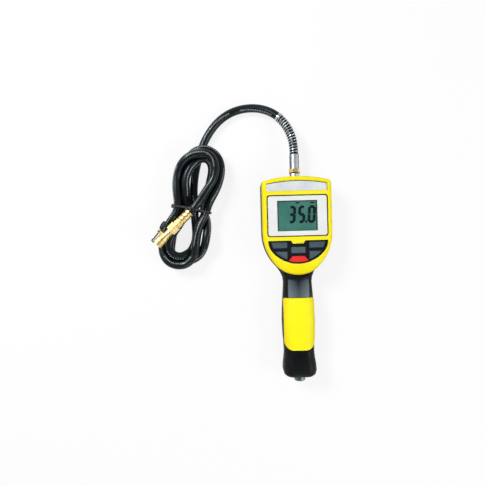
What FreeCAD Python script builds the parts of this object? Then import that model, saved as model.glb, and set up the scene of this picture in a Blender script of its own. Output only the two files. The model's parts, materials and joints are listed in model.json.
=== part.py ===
import FreeCAD, Part
import math
import os

# Tyre inflator: a handset that lies on its back, with its hose curving away to a tied hank.
# +Z is the face with the display, +Y points to the hose end, the origin is under the middle of the handset.
# All sizes are millimetres.

Vector = FreeCAD.Vector
ALONG_X = Vector(1, 0, 0)
ALONG_Y = Vector(0, 1, 0)
ALONG_Z = Vector(0, 0, 1)

# Levels above the back face
PARTING = 22.0
LEDGE = 30.0
BEZEL_HEIGHT = 14.0
FACE = LEDGE + BEZEL_HEIGHT

# Head outline, seen from the front
HEAD_HALF_WIDTH = 50.0
HEAD_TOP = 141.2
HEAD_TIP = -0.3
HEAD_TOP_RADIUS = 190.0
HEAD_SIDE_RADIUS = 70.0
HEAD_SIDE_START = 61.2
HEAD_CORNER = 7.0
HEAD_WALL = 2.5
HEAD_BACK_BEVEL = 4.5
BOSS_SIDES = 8
TURNED_SIDES = 16

# Bezel and the step of the front cover that it sits over
BEZEL_INSET = 0.8
BEZEL_WALL = 2.6
BEZEL_SKIN = 3.6
BEZEL_FILLET = 4.5
BEZEL_DIP_START = 14.0
BEZEL_DIP = 2.5
SEAT_GAP = 0.1
SIDE_GAP = 0.3
STEP_INSET = BEZEL_INSET + BEZEL_WALL + SIDE_GAP
DECK_TOP = FACE - BEZEL_SKIN - SEAT_GAP
DECK_THICKNESS = 2.5
DECK_UNDER = DECK_TOP - DECK_THICKNESS

# Display
DISPLAY_CENTRE = 84.2
DISPLAY_WIDTH = 2 * (HEAD_HALF_WIDTH - 7.5)
DISPLAY_HEIGHT = 58.0
DISPLAY_CORNER = 4.0
DISPLAY_SINK = 0.8
DISPLAY_GAP = 0.5
WINDOW_WIDTH = 56.4
WINDOW_HEIGHT = 42.9
LENS_SINK = 0.2
LENS_THICKNESS = 1.5
MODULE_WIDTH = 60.0
MODULE_HEIGHT = 47.0
MODULE_GAP = 0.3

# Label recess at the top of the bezel
LABEL_HALF_WIDTH = HEAD_HALF_WIDTH - 7.1
LABEL_BOTTOM = 119.25
LABEL_SIDE_TOP = 129.8
LABEL_PEAK = 134.0
LABEL_THICKNESS = 0.6
LABEL_GAP = 0.15

# Keypad dish, its tab and its keys
DISH_HALF_WIDTH = HEAD_HALF_WIDTH - 7.8
DISH_TOP = 49.3
DISH_TIP = 16.6
DISH_SIDE_RADIUS = 25.0
TAB_TOP_HALF = 10.0
TAB_BOTTOM_HALF = 7.5
TAB_DEPTH = 4.3
PANEL_SINK = 0.6
PANEL_SKIN = 1.0
PANEL_GAP = 0.3
KEY_GAP = 0.35
KEY_TRAVEL = 1.0
KEY_FLANGE = 0.5
KEY_FLANGE_THICKNESS = 0.7
KEY_SEAT_GAP = 0.2
KEY_STEM_HALF = 3.2
KEY_STEM_DROP = 1.9
KEY_HOLE_GAP = 0.4
KEY_CORNER = 1.2
KEY_BEVEL = 0.4
KEY_INNER = 15.5
UPPER_KEY_OUTER = DISH_HALF_WIDTH - 4.3
UPPER_KEY_LOWER_OUTER = DISH_HALF_WIDTH - 6.9
UPPER_KEY_TOP = 47.0
UPPER_KEY_BOTTOM = 38.8
LOWER_KEY_TOP = 34.0
LOWER_KEY_EDGE = 3.2
CENTRE_KEY_HALF = 10.0
CENTRE_KEY_TOP = 40.2
CENTRE_KEY_BOTTOM = 31.5
RED_KEY_TOP = 27.4
RED_KEY_TOP_HALF = 8.3
RED_KEY_BOTTOM_HALF = 14.2
RED_KEY_EDGE = 2.1

# Batteries in the handle, which set where its butt ends
CELL_RADIUS = 7.25
CELL_LENGTH = 50.5
CELL_NUB = 1.2
CELL_NUB_RADIUS = 2.75
CELL_START = -22.5
CELL_LEVEL = 13.55
CELL_SPREAD = 7.4
CELL_END = CELL_START - 2 * CELL_LENGTH
BUTT_END = CELL_END - 21.5

# Handle: distance along it, half width, back level, front level, corner radius of each section
HANDLE_SECTIONS = [
    (16.0, 33.0, 4.0, 30.0, 12.0),
    (10.0, 28.6, 3.6, 33.0, 13.0),
    (4.0, 24.6, 3.3, 35.8, 13.5),
    (-3.0, 21.5, 3.0, 37.2, 14.0),
    (-10.0, 20.6, 3.0, 37.5, 14.0),
    (-20.0, 21.1, 2.9, 38.3, 14.2),
    (-33.0, 22.0, 2.6, 39.1, 14.5),
    (-49.0, 23.2, 2.2, 39.9, 14.8),
    (-66.0, 23.8, 2.0, 40.1, 15.0),
    (-84.0, 23.3, 2.2, 39.4, 14.8),
    (-100.0, 22.2, 2.7, 38.2, 14.5),
    (BUTT_END + 34, 21.8, 2.6, 37.9, 14.0),
    (BUTT_END + 25, 22.5, 1.6, 39.2, 14.0),
    (BUTT_END + 17, 23.6, 0.5, 41.0, 14.0),
    (BUTT_END + 9, 24.1, 0.0, 42.0, 14.0),
    (BUTT_END + 3, 22.6, 1.2, 41.0, 13.0),
    (BUTT_END, 19.5, 4.5, 38.0, 11.5),
]
CORNER_STEPS = 4
HANDLE_WALL = 3.0
CAVITY_START = -4.0
SKIRT_CLEARANCE = 0.3
PASSAGE_HALF = 16.0
PASSAGE_START = -8.0
PASSAGE_END = 12.0
PASSAGE_LOW = 5.0
PASSAGE_HIGH = 27.0

# Flat on the neck, and the grip pad below it
FACET_HALF = 15.0
FACET_START = -6.0
FACET_LOW = 35.0
FACET_HIGH = 37.2
NECK_CAVITY_TOP = 32.0
PAD_TOP = -32.3
PAD_BOTTOM = -106.6
PAD_HALF = 22.0
PAD_TOP_CORNER = 3.5
PAD_BOTTOM_CORNER = 13.0
PAD_PROUD = 1.0
PAD_SUNK = 1.45
PAD_GAP = 0.15

# Circuit board
BOARD_INSET = 7.6
BOARD_THICKNESS = 1.6
BOARD_DROP = 3.2
BOARD_START = 14.0
BOARD_TOP = DECK_UNDER - BOARD_DROP
BOARD_UNDER = BOARD_TOP - BOARD_THICKNESS
BOARD_POSTS = [(24.0, 119.0), (24.0, 53.5)]
BOARD_POST_RADIUS = 2.5
BOARD_SCREW_RADIUS = 1.0
BOARD_SCREW_LENGTH = 6.0
BOARD_SCREW_HEAD_RADIUS = 2.2
BOARD_SCREW_HEAD = 1.4
MAT_THICKNESS = 1.2
MAT_INSET = 3.0
DOME_HALF = 2.8

# Air path
AIR_RADIUS = 3.5
BLOCK_HALF = 22.0
BLOCK_START = 12.0
BLOCK_END = 40.0
BLOCK_LOW = 15.0
SENSOR_SIZE = 10.0
SENSOR_HEIGHT = 4.0
SENSOR_AT = 30.0
BLOCK_HIGH = BOARD_UNDER - SENSOR_HEIGHT
BLOCK_POST_RADIUS = 4.0
BLOCK_POSTS = [(16.0, 18.0), (16.0, 34.0)]
SOLENOID_AT = 16.0
SOLENOID_RADIUS = 10.0
SOLENOID_LENGTH = 34.0
SOLENOID_WALL = 2.0
PLUNGER_RADIUS = 4.0
PLUNGER_GAP = 0.2
PLUNGER_LENGTH = 22.0
PLUNGER_TRAVEL = 1.5
PLUNGER_START_GAP = 0.3
SPRING_WIRE = 0.7
SILENCER_RADIUS = 7.0
SILENCER_HEIGHT = 6.0
SILENCER_AT = 26.0
VENT_COUNT = 5
VENT_PITCH = 4.0
VENT_WIDTH = 1.6
VENT_LENGTH = 14.0

# Battery bay and its door
CONTACT_THICKNESS = 0.5
CONTACT_HALF = 4.5
RIB_THICKNESS = 2.0
RIB_TOP = 20.0
TUBE_GAP = 0.7
DOOR_HALF = 15.5
DOOR_START = CELL_START
DOOR_END = CELL_END - 7.5
DOOR_GAP = 0.25
DOOR_CUT_TOP = 8.5
DOOR_SCREW_AT = DOOR_END + 2.5
DOOR_SCREW_RADIUS = 1.25
DOOR_SCREW_LENGTH = 8.0
DOOR_SCREW_SEAT = 1.9
DOOR_SCREW_HEAD_RADIUS = 2.3
DOOR_SCREW_HEAD = 1.2
DOOR_BLOCK_TOP = 13.5

# Housing screws, in mirrored pairs
SCREW_PAIRS = [(HEAD_HALF_WIDTH - 10, 126.0), (HEAD_HALF_WIDTH - 11.5, 52.0), (14.0, BUTT_END + 7)]
SCREW_RADIUS = 1.25
SCREW_PILOT = 1.35
SCREW_CLEAR = 1.7
SCREW_HEAD_RADIUS = 2.9
SCREW_HEAD = 2.4
SCREW_LENGTH = 19.0
SCREW_SEAT = 12.0
COUNTERBORE = 3.2
REAR_BOSS = 4.4
FRONT_BOSS = 3.5

# Fittings at the two ends of the handset
COLLAR_RADIUS = 6.8
COLLAR_END = 147.5
COLLAR_NECK = 5.0
COLLAR_START = 136.0
FIT_GAP = 0.2
ADAPTER_FLATS = 14.3
ADAPTER_LENGTH = 5.75
FERRULE_RADIUS = 6.6
FERRULE_LENGTH = 20.95
INLET_RADIUS = 7.9
INLET_LENGTH = 8.25
INLET_NECK = 7.0
INLET_NECK_LENGTH = 5.0
INLET_BORE = 5.6
INLET_DEPTH = 11.5
INLET_PASSAGE = 2.0

# Hose
HOSE = 12.0
HOSE_SIDES = 8
GUARD_WIRE = 1.0
GUARD_GAP = 0.2
GUARD_LENGTH = 60.0
GUARD_TURNS = 15
GUARD_SIDES = 4
GUARD_RING_WALL = 1.0
GUARD_RING_LENGTH = 3.0

# Hank: a closed loop drawn in at its waist, walked three times as a bundle of three strands
HANK_CENTRE = (-151.3, 101.1)
HANK_HALF_LENGTH = 71.8
HANK_LEAN = 16.9
HANK_HALF_WIDTH = 26.3
HANK_WAIST = 8.7
HANK_PINCH = 6.3
HANK_TWIST = 3.9
STRAND_SPACING = 13.6
# place of the strand in its bundle, in degrees, and its height, at each eighth of a turn
STRAND_ANGLES = [150, 255, 160, 115, 185, 140, 215, 215]
STRAND_LIFTS = [1.6, 4.5, 0.0, 1.5, 1.6, 4.5, 13.0, 8.0]
HANK_TURNS = 3

# Tie round the waist of the hank
TIE_WIDTH = 3.0
TIE_THICKNESS = 1.2
TIE_GAP = 0.45
TIE_CENTRE = Vector(-151.1, 98.9, 0)
TIE_AXIS = Vector(0.22, 0.975, 0)
TIE_REACH = 60.0

# Chuck: distances from the hose's end, along the chuck
CHUCK_LEVEL = 34.2
CHUCK_FROM = Vector(-151.7, 93.9, CHUCK_LEVEL)
CHUCK_TOWARDS = Vector(-0.730, -0.683, 0)
END_FERRULE_LENGTH = 20.0
END_FERRULE_RADIUS = 6.4
CRIMPS = 3
CRIMP_DEPTH = 0.7
NUT_LENGTH = 6.5
NUT_FLATS = 11.5
CHUCK_FLATS = 14.0
CHUCK_HEX_END = 39.0
CHUCK_NECK_END = 47.0
CHUCK_NECK_RADIUS = 5.3
CHUCK_FLARE_END = 53.0
CHUCK_FLARE_RADIUS = 7.2
CHUCK_MOUTH = 66.0
CHUCK_MOUTH_RADIUS = 8.2
CHUCK_BORE = 4.1
CHUCK_BORE_DEPTH = 11.0
CHUCK_PASSAGE = 2.0
SEAL_LENGTH = 3.0
SEAL_RADIUS = 4.7
SEAL_BORE = 1.8
DEPRESSOR_RADIUS = 0.9
PIN_AT = 50.5
PIN_OUT = 10.6
PIN_RADIUS = 1.0
PIN_FIT = 0.05
LUG_INNER = 3.0
LUG_OUTER = 5.0
LUG_RADIUS = 2.6
CLIP_HALF = 2.7
CLIP_EAR = 1.1
HUB_RADIUS = 2.4
JAW_THICKNESS = 1.2
JAW_REACH = 68.0
JAW_TIP_OUT = 4.7
LEVER_START = 35.0
LEVER_TOP = 17.0
LEVER_END = 3.0
LEVER_SIDE = 0.6
CLIP_WIRE = 0.5
CLIP_COIL_RADIUS = 1.6


def save(name, *pieces):
    """Write one named piece, or a group of like pieces, to its own file."""
    shape = pieces[0] if len(pieces) == 1 else Part.makeCompound(list(pieces))
    shape.exportStep("parts/%s.step" % name)
    return shape


def clean(shape):
    return shape.removeSplitter()


def block(x0, x1, y0, y1, z0, z1):
    return Part.makeBox(x1 - x0, y1 - y0, z1 - z0, Vector(x0, y0, z0))


def rod(x, y, low, high, radius):
    """Upright cylinder."""
    return Part.makeCylinder(radius, high - low, Vector(x, y, low), ALONG_Z)


def flat_sided(x, y, low, high, radius, sides):
    """Upright prism that fits in a round hole of that radius."""
    angles = [2 * math.pi * i / sides for i in range(sides + 1)]
    corners = [Vector(x + radius * math.cos(a), y + radius * math.sin(a), low) for a in angles]
    corners[-1] = corners[0]
    return Part.Face(Part.makePolygon(corners)).extrude(Vector(0, 0, high - low))


def boss(x, y, low, high, radius):
    """Upright boss with flat sides."""
    return flat_sided(x, y, low, high, radius, BOSS_SIDES)


def flat_hole(x, y, low, high, radius):
    """Upright hole with flat sides that clears a rod of that radius."""
    return boss(x, y, low, high, radius / math.cos(math.pi / BOSS_SIDES))


def post(place, half, low, high):
    """Square upright bar."""
    return block(place[0] - half, place[0] + half, place[1] - half, place[1] + half, low, high)


def bar(start, end, radius, x=0.0, level=PARTING):
    """Cylinder along Y from start to end."""
    return Part.makeCylinder(radius, end - start, Vector(x, start, level), ALONG_Y)


def faceted(flats, sides, start, end, x=0.0, level=PARTING):
    """Flat-sided bar along Y, with that width across its flats."""
    angles = [2 * math.pi * (i + 0.5) / sides for i in range(sides + 1)]
    size = flats / 2 / math.cos(math.pi / sides)
    corners = [Vector(x + size * math.sin(a), start, level + size * math.cos(a)) for a in angles]
    return Part.Face(Part.makePolygon(corners)).extrude(Vector(0, end - start, 0))


def round_bar(start, end, radius, x=0.0, level=PARTING):
    """Bar along Y with enough flats to read as round, within that radius."""
    return faceted(2 * radius * math.cos(math.pi / TURNED_SIDES), TURNED_SIDES, start, end, x, level)


def mirrored(shape):
    return shape.mirror(Vector(0, 0, 0), ALONG_X)


def paired(places):
    """Places on both sides of the middle."""
    return [(side * x, y) for x, y in places for side in (1, -1)]


def outline(steps):
    """Closed flat wire: each step is a corner (x, y), or (mx, my, x, y) for an arc through (mx, my)."""
    points = [Vector(s[-2], s[-1], 0) for s in steps]
    edges = []
    for i, step in enumerate(steps):
        start, end = points[i - 1], points[i]
        if len(step) == 4:
            edges.append(Part.Arc(start, Vector(step[0], step[1], 0), end).toShape())
        elif start.distanceToPoint(end) > 1e-6:
            edges.append(Part.LineSegment(start, end).toShape())
    return Part.Wire(edges)


def plate(wire, low, high):
    face = Part.Face(wire)
    face.translate(Vector(0, 0, low))
    return face.extrude(Vector(0, 0, high - low))


def rectangle(width, height, x=0.0, y=0.0):
    a, b = width / 2, height / 2
    return outline([(x + a, y - b), (x + a, y + b), (x - a, y + b), (x - a, y - b)])


def upright_edges(shape):
    return [e for e in shape.Edges if e.BoundBox.XLength < 1e-4 and e.BoundBox.YLength < 1e-4]


def level_edges(shape, level):
    box = [(e, e.BoundBox) for e in shape.Edges]
    return [e for e, b in box if abs(b.ZMin - level) < 1e-4 and abs(b.ZMax - level) < 1e-4]


def rounded_plate(width, height, corner, low, high, x=0.0, y=0.0):
    slab = plate(rectangle(width, height, x, y), low, high)
    return slab.makeFillet(corner, upright_edges(slab))


def hexagon(flats, start, end):
    """Hexagonal bar along X from start to end, with flats that face plus and minus Y."""
    size = flats / math.sqrt(3)
    angles = [math.radians(60 * i) for i in range(6)]
    corners = [Vector(start, size * math.sin(a), size * math.cos(a)) for a in angles]
    corners.append(corners[0])
    return Part.Face(Part.makePolygon(corners)).extrude(Vector(end - start, 0, 0))


def turned(profile):
    """Solid about the X axis through (distance, radius) points, with enough flats to read as round."""
    rings = []
    for s, r in profile:
        angles = [2 * math.pi * i / TURNED_SIDES for i in range(TURNED_SIDES + 1)]
        ring = [Vector(s, r * math.cos(a), r * math.sin(a)) for a in angles]
        ring[-1] = ring[0]
        rings.append(Part.makePolygon(ring))
    return Part.makeLoft(rings, True, True)


def arc_tangent(side_x, side_y, side_radius, bottom_y, bottom_radius):
    """Point where the side arc runs into the bottom arc."""
    dx, dy = -side_x, bottom_y - side_y
    reach = math.hypot(dx, dy)
    away = side_radius if side_radius > bottom_radius else -side_radius
    return side_x + dx / reach * away, side_y + dy / reach * away


def arc_middle(cx, cy, radius, start, end):
    """Point of the arc halfway between two of its points."""
    a = math.atan2(start[1] - cy, start[0] - cx)
    b = math.atan2(end[1] - cy, end[0] - cx)
    return cx + radius * math.cos((a + b) / 2), cy + radius * math.sin((a + b) / 2)


def bottom_radius(half_width, side_radius, drop):
    """Radius of the bottom arc that joins two side arcs and reaches its tip by that drop."""
    return (side_radius ** 2 - drop ** 2 - (half_width - side_radius) ** 2) / (2 * (side_radius + drop))


def shield(inset):
    """Outline of the head, drawn in by the inset."""
    half = HEAD_HALF_WIDTH - inset
    top = HEAD_TOP - inset
    tip = HEAD_TIP + inset
    top_radius = HEAD_TOP_RADIUS - inset
    side = HEAD_SIDE_RADIUS - inset
    corner = max(HEAD_CORNER - inset, 2.0)
    side_x = half - side
    lower = bottom_radius(half, side, tip - HEAD_SIDE_START)
    meet = arc_tangent(side_x, HEAD_SIDE_START, side, tip + lower, lower)
    side_mid = arc_middle(side_x, HEAD_SIDE_START, side, (half, HEAD_SIDE_START), meet)
    top_centre = top - top_radius
    corner_x = half - corner
    corner_y = top_centre + math.sqrt((top_radius - corner) ** 2 - corner_x ** 2)
    slope = math.atan2(corner_y - top_centre, corner_x)
    end = (top_radius * math.cos(slope), top_centre + top_radius * math.sin(slope))
    bend = (corner_x + corner * math.cos(slope / 2), corner_y + corner * math.sin(slope / 2))
    return outline([
        (0, top, end[0], end[1]),
        (bend[0], bend[1], half, corner_y),
        (half, HEAD_SIDE_START),
        (side_mid[0], side_mid[1], meet[0], meet[1]),
        (0, tip, -meet[0], meet[1]),
        (-side_mid[0], side_mid[1], -half, HEAD_SIDE_START),
        (-half, corner_y),
        (-bend[0], bend[1], -end[0], end[1]),
    ])


def head(inset, low, high):
    return plate(shield(inset), low, high)


DISH_LOWER = bottom_radius(DISH_HALF_WIDTH, DISH_SIDE_RADIUS, DISH_TIP - DISH_TOP)
DISH_LOWER_CENTRE = DISH_TIP + DISH_LOWER


def dish(inset, low, high):
    """Keypad area: straight top with the tab's notch, round sides and a round bottom."""
    half = DISH_HALF_WIDTH - inset
    side = DISH_SIDE_RADIUS - inset
    side_x = half - side
    lower = DISH_LOWER - inset
    top = DISH_TOP - inset
    shoulder = side_x + math.sqrt(side ** 2 - inset ** 2)
    meet = arc_tangent(side_x, DISH_TOP, side, DISH_LOWER_CENTRE, lower)
    side_mid = arc_middle(side_x, DISH_TOP, side, (shoulder, top), meet)
    tip = DISH_LOWER_CENTRE - lower
    tab_low = DISH_TOP - TAB_DEPTH - inset
    return plate(outline([
        (TAB_TOP_HALF + inset, top),
        (shoulder, top),
        (side_mid[0], side_mid[1], meet[0], meet[1]),
        (0, tip, -meet[0], meet[1]),
        (-side_mid[0], side_mid[1], -shoulder, top),
        (-TAB_TOP_HALF - inset, top),
        (-TAB_BOTTOM_HALF - inset, tab_low),
        (TAB_BOTTOM_HALF + inset, tab_low),
    ]), low, high)


def dish_edge(x, inset):
    """Level of the dish's bottom arc, drawn in by the inset, at a distance from the middle."""
    return DISH_LOWER_CENTRE - math.sqrt((DISH_LOWER - inset) ** 2 - x ** 2)


def section(y, half, low, high, corner, inset):
    """One section of the handle, across Y, with its corners rounded in straight steps."""
    half, low, high = half - inset, low + inset, high - inset
    corner = min(corner - inset, half - 1, (high - low) / 2 - 1)
    corners = []
    for quarter, (x, z) in enumerate([(half, high), (-half, high), (-half, low), (half, low)]):
        cx = x - math.copysign(corner, x)
        cz = high - corner if z == high else low + corner
        for i in range(CORNER_STEPS + 1):
            a = math.pi / 2 * (quarter + i / CORNER_STEPS)
            corners.append(Vector(cx + corner * math.cos(a), y, cz + corner * math.sin(a)))
    corners.append(corners[0])
    return Part.makePolygon(corners)


def handle(inset):
    """The handle's body, drawn in by the inset."""
    return Part.makeLoft([section(*values, inset) for values in HANDLE_SECTIONS], True, True)


BIG = 400.0


def above(level):
    return block(-BIG, BIG, -BIG, BIG, level, level + BIG)


def below(level):
    return block(-BIG, BIG, -BIG, BIG, level - BIG, level)


HANDLE = handle(0)
CAVITY = handle(HANDLE_WALL)


def handle_cavity():
    """Room inside the handle, lower under the flat of the neck."""
    room = CAVITY.common(block(-BIG, BIG, BUTT_END + HANDLE_WALL, CAVITY_START, -BIG, BIG))
    return room.cut(block(-BIG, BIG, PAD_TOP - 1, BIG, NECK_CAVITY_TOP, BIG))


def passage():
    return block(-PASSAGE_HALF, PASSAGE_HALF, PASSAGE_START, PASSAGE_END, PASSAGE_LOW, PASSAGE_HIGH)


def screw_places():
    return paired(SCREW_PAIRS)


def keys():
    """Outline and stem centre of each key."""
    upper = [(KEY_INNER, UPPER_KEY_BOTTOM), (UPPER_KEY_LOWER_OUTER, UPPER_KEY_BOTTOM),
             (UPPER_KEY_OUTER, UPPER_KEY_TOP), (KEY_INNER, UPPER_KEY_TOP)]
    reach = math.sqrt((DISH_LOWER - LOWER_KEY_EDGE) ** 2 - (DISH_LOWER_CENTRE - LOWER_KEY_TOP) ** 2)
    halfway = (KEY_INNER + reach) / 2
    lower = [(KEY_INNER, dish_edge(KEY_INNER, LOWER_KEY_EDGE)),
             (halfway, dish_edge(halfway, LOWER_KEY_EDGE), reach, LOWER_KEY_TOP),
             (KEY_INNER, LOWER_KEY_TOP)]
    centre = [(CENTRE_KEY_HALF, CENTRE_KEY_BOTTOM), (CENTRE_KEY_HALF, CENTRE_KEY_TOP),
              (-CENTRE_KEY_HALF, CENTRE_KEY_TOP), (-CENTRE_KEY_HALF, CENTRE_KEY_BOTTOM)]
    corner = dish_edge(RED_KEY_BOTTOM_HALF, RED_KEY_EDGE)
    red = [(RED_KEY_BOTTOM_HALF, corner), (RED_KEY_TOP_HALF, RED_KEY_TOP),
           (-RED_KEY_TOP_HALF, RED_KEY_TOP), (-RED_KEY_BOTTOM_HALF, corner),
           (0, dish_edge(0, RED_KEY_EDGE), RED_KEY_BOTTOM_HALF, corner)]
    upper_stem = ((KEY_INNER + UPPER_KEY_LOWER_OUTER) / 2, (UPPER_KEY_TOP + UPPER_KEY_BOTTOM) / 2)
    lower_stem = (KEY_INNER + KEY_STEM_HALF + 2.0, LOWER_KEY_TOP - KEY_STEM_HALF - 0.8)
    centre_stem = (0, (CENTRE_KEY_TOP + CENTRE_KEY_BOTTOM) / 2)
    red_stem = (0, (RED_KEY_TOP + dish_edge(0, RED_KEY_EDGE)) / 2)
    return {
        "key_upper_right": (outline(upper), upper_stem, False),
        "key_upper_left": (outline(upper), upper_stem, True),
        "key_lower_right": (outline(lower), lower_stem, False),
        "key_lower_left": (outline(lower), lower_stem, True),
        "key_centre": (outline(centre), centre_stem, False),
        "key_red": (outline(red), red_stem, False),
    }


KEYS = keys()
PANEL_TOP = FACE - PANEL_SINK
FLANGE_TOP = PANEL_TOP - PANEL_SKIN - KEY_SEAT_GAP
FLANGE_LOW = FLANGE_TOP - KEY_FLANGE_THICKNESS
STEM_LOW = DECK_TOP - KEY_STEM_DROP
DOME_TOP = STEM_LOW - KEY_TRAVEL - SIDE_GAP


def stem_places():
    return [(-stem[0] if flip else stem[0], stem[1]) for wire, stem, flip in KEYS.values()]


def grown(wire, distance):
    return wire.makeOffset2D(distance, 2, False, False, False)


def key(name):
    """Key cap with a thin flange under the panel and a square stem through the deck."""
    wire, stem, flip = KEYS[name]
    cap = plate(wire, FLANGE_LOW, FACE)
    cap = cap.makeFillet(KEY_CORNER, upright_edges(cap))
    cap = cap.makeChamfer(KEY_BEVEL, level_edges(cap, FACE))
    flange = plate(grown(wire, KEY_FLANGE), FLANGE_LOW, FLANGE_TOP)
    body = cap.fuse([flange, post(stem, KEY_STEM_HALF, STEM_LOW, FLANGE_LOW)])
    return mirrored(clean(body)) if flip else clean(body)


def front_cover():
    """Front half of the housing: the head with its stepped deck, and the front of the handle."""
    skirt_room = head(BEZEL_INSET - SKIRT_CLEARANCE, LEDGE, LEDGE + BIG)
    handle_front = HANDLE.common(above(PARTING)).cut(skirt_room)
    outer = head(0, PARTING, LEDGE).fuse([head(STEP_INSET, PARTING, DECK_TOP), handle_front])
    lower_room = head(HEAD_WALL, PARTING, LEDGE - HEAD_WALL)
    upper_room = head(STEP_INSET + HEAD_WALL, PARTING, DECK_UNDER)
    cover = outer.cut([lower_room, upper_room, handle_cavity(), passage()])
    bosses = [boss(x, y, PARTING, FACE, FRONT_BOSS) for x, y in screw_places()]
    posts = [boss(x, y, BOARD_TOP, DECK_TOP, BOARD_POST_RADIUS) for x, y in paired(BOARD_POSTS)]
    filled = Part.makeCompound(bosses + posts).common(outer.cut(above(DECK_TOP)))
    cover = cover.fuse(filled.Solids)
    screw_top = SCREW_SEAT + SCREW_LENGTH
    cuts = [flat_hole(x, y, PARTING - 1, screw_top + 0.5, SCREW_PILOT) for x, y in screw_places()]
    screw_end = BOARD_UNDER + BOARD_SCREW_LENGTH
    cuts += [flat_hole(x, y, BOARD_TOP, screw_end + SIDE_GAP, BOARD_SCREW_RADIUS + SEAT_GAP)
             for x, y in paired(BOARD_POSTS)]
    cuts += [post(place, KEY_STEM_HALF + KEY_HOLE_GAP, DECK_UNDER - 1, DECK_TOP + 1)
             for place in stem_places()]
    module = rectangle(MODULE_WIDTH + 2 * MODULE_GAP, MODULE_HEIGHT + 2 * MODULE_GAP, 0, DISPLAY_CENTRE)
    cuts.append(plate(module, DECK_UNDER - 1, DECK_TOP + 1))
    cuts.append(bar(COLLAR_START - 5, HEAD_TOP + 5, COLLAR_NECK + FIT_GAP))
    cuts.append(bar(BUTT_END - 1, BUTT_END + INLET_NECK_LENGTH + 1, INLET_NECK + FIT_GAP))
    cuts.append(pad_room())
    cuts.append(neck_flat())
    return clean(cover.cut(cuts))


def neck_flat():
    """Sloping slot that leaves a flat on the crown of the neck."""
    profile = Part.makePolygon([
        Vector(-FACET_HALF, FACET_START, FACET_LOW),
        Vector(-FACET_HALF, PAD_TOP, FACET_HIGH),
        Vector(-FACET_HALF, PAD_TOP, FACE),
        Vector(-FACET_HALF, FACET_START, FACE),
        Vector(-FACET_HALF, FACET_START, FACET_LOW),
    ])
    return Part.Face(profile).extrude(Vector(2 * FACET_HALF, 0, 0))


def pad_outline(gap):
    """Round-cornered area of the grip pad, grown by the gap."""
    middle = (PAD_TOP + PAD_BOTTOM) / 2
    area = rectangle(2 * (PAD_HALF + gap), PAD_TOP - PAD_BOTTOM + 2 * gap, 0, middle)
    pad = plate(area, PARTING + 2, FACE + 5)
    edges = upright_edges(pad)
    pad = pad.makeFillet(PAD_TOP_CORNER, [e for e in edges if e.CenterOfMass.y > middle])
    edges = [e for e in upright_edges(pad) if e.CenterOfMass.y < middle]
    return pad.makeFillet(PAD_BOTTOM_CORNER, edges)


def grip_pad():
    skin = handle(-PAD_PROUD).cut(handle(PAD_SUNK))
    return clean(skin.common(pad_outline(0)))


def pad_room():
    return handle(-PAD_PROUD - 1).cut(handle(PAD_SUNK + PAD_GAP)).common(pad_outline(PAD_GAP))


def rear_shell():
    back = head(0, 0, PARTING)
    back = back.makeChamfer(HEAD_BACK_BEVEL, level_edges(back, 0))
    return back.fuse(HANDLE.common(below(PARTING)))


def door_area(gap):
    return block(-DOOR_HALF + gap, DOOR_HALF - gap, DOOR_END + gap, DOOR_START - gap, -1, DOOR_CUT_TOP)


def rear_cover():
    """Back half of the housing, with the battery bay, the valve posts and the screw bosses."""
    outer = rear_shell()
    room = head(HEAD_WALL, HEAD_WALL, PARTING)
    room = room.makeChamfer(HEAD_BACK_BEVEL - HEAD_WALL / 2, level_edges(room, HEAD_WALL))
    cover = outer.cut([room, handle_cavity(), passage()])
    starts = (CELL_START + CONTACT_THICKNESS, CELL_END - CONTACT_THICKNESS - RIB_THICKNESS)
    ribs = [block(-BIG, BIG, y, y + RIB_THICKNESS, 0, RIB_TOP) for y in starts]
    inside = [boss(x, y, 0, PARTING, REAR_BOSS) for x, y in screw_places()]
    inside += [boss(x, y, HEAD_WALL, BLOCK_LOW, BLOCK_POST_RADIUS) for x, y in paired(BLOCK_POSTS)]
    door_block = block(-REAR_BOSS, REAR_BOSS, DOOR_END - 2, DOOR_SCREW_AT + 2.4, 0, DOOR_BLOCK_TOP)
    inside += ribs + [door_block]
    cover = cover.fuse([piece.common(outer) for piece in inside])
    cuts = [flat_sided(x, y, -1, SCREW_SEAT, COUNTERBORE, TURNED_SIDES) for x, y in screw_places()]
    cuts += [flat_hole(x, y, SCREW_SEAT - 1, PARTING + 1, SCREW_CLEAR) for x, y in screw_places()]
    cuts.append(bar(COLLAR_START - 5, HEAD_TOP + 5, COLLAR_NECK + FIT_GAP))
    cuts.append(bar(BUTT_END - 1, BUTT_END + INLET_NECK_LENGTH + 1, INLET_NECK + FIT_GAP))
    cuts.append(bar(BUTT_END, BLOCK_START, AIR_RADIUS + TUBE_GAP))
    cuts.append(door_area(0).cut(CAVITY).fuse(door_area(0).common(CAVITY.common(below(DOOR_CUT_TOP)))))
    cuts.append(flat_hole(0, DOOR_SCREW_AT, 0, DOOR_BLOCK_TOP, DOOR_SCREW_RADIUS + SEAT_GAP))
    first = SILENCER_AT - (VENT_COUNT - 1) / 2 * VENT_PITCH - VENT_WIDTH / 2
    for i in range(VENT_COUNT):
        y = first + i * VENT_PITCH
        cuts.append(block(-VENT_LENGTH / 2, VENT_LENGTH / 2, y, y + VENT_WIDTH, -1, HEAD_WALL + 1))
    return clean(cover.cut(cuts))


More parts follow.
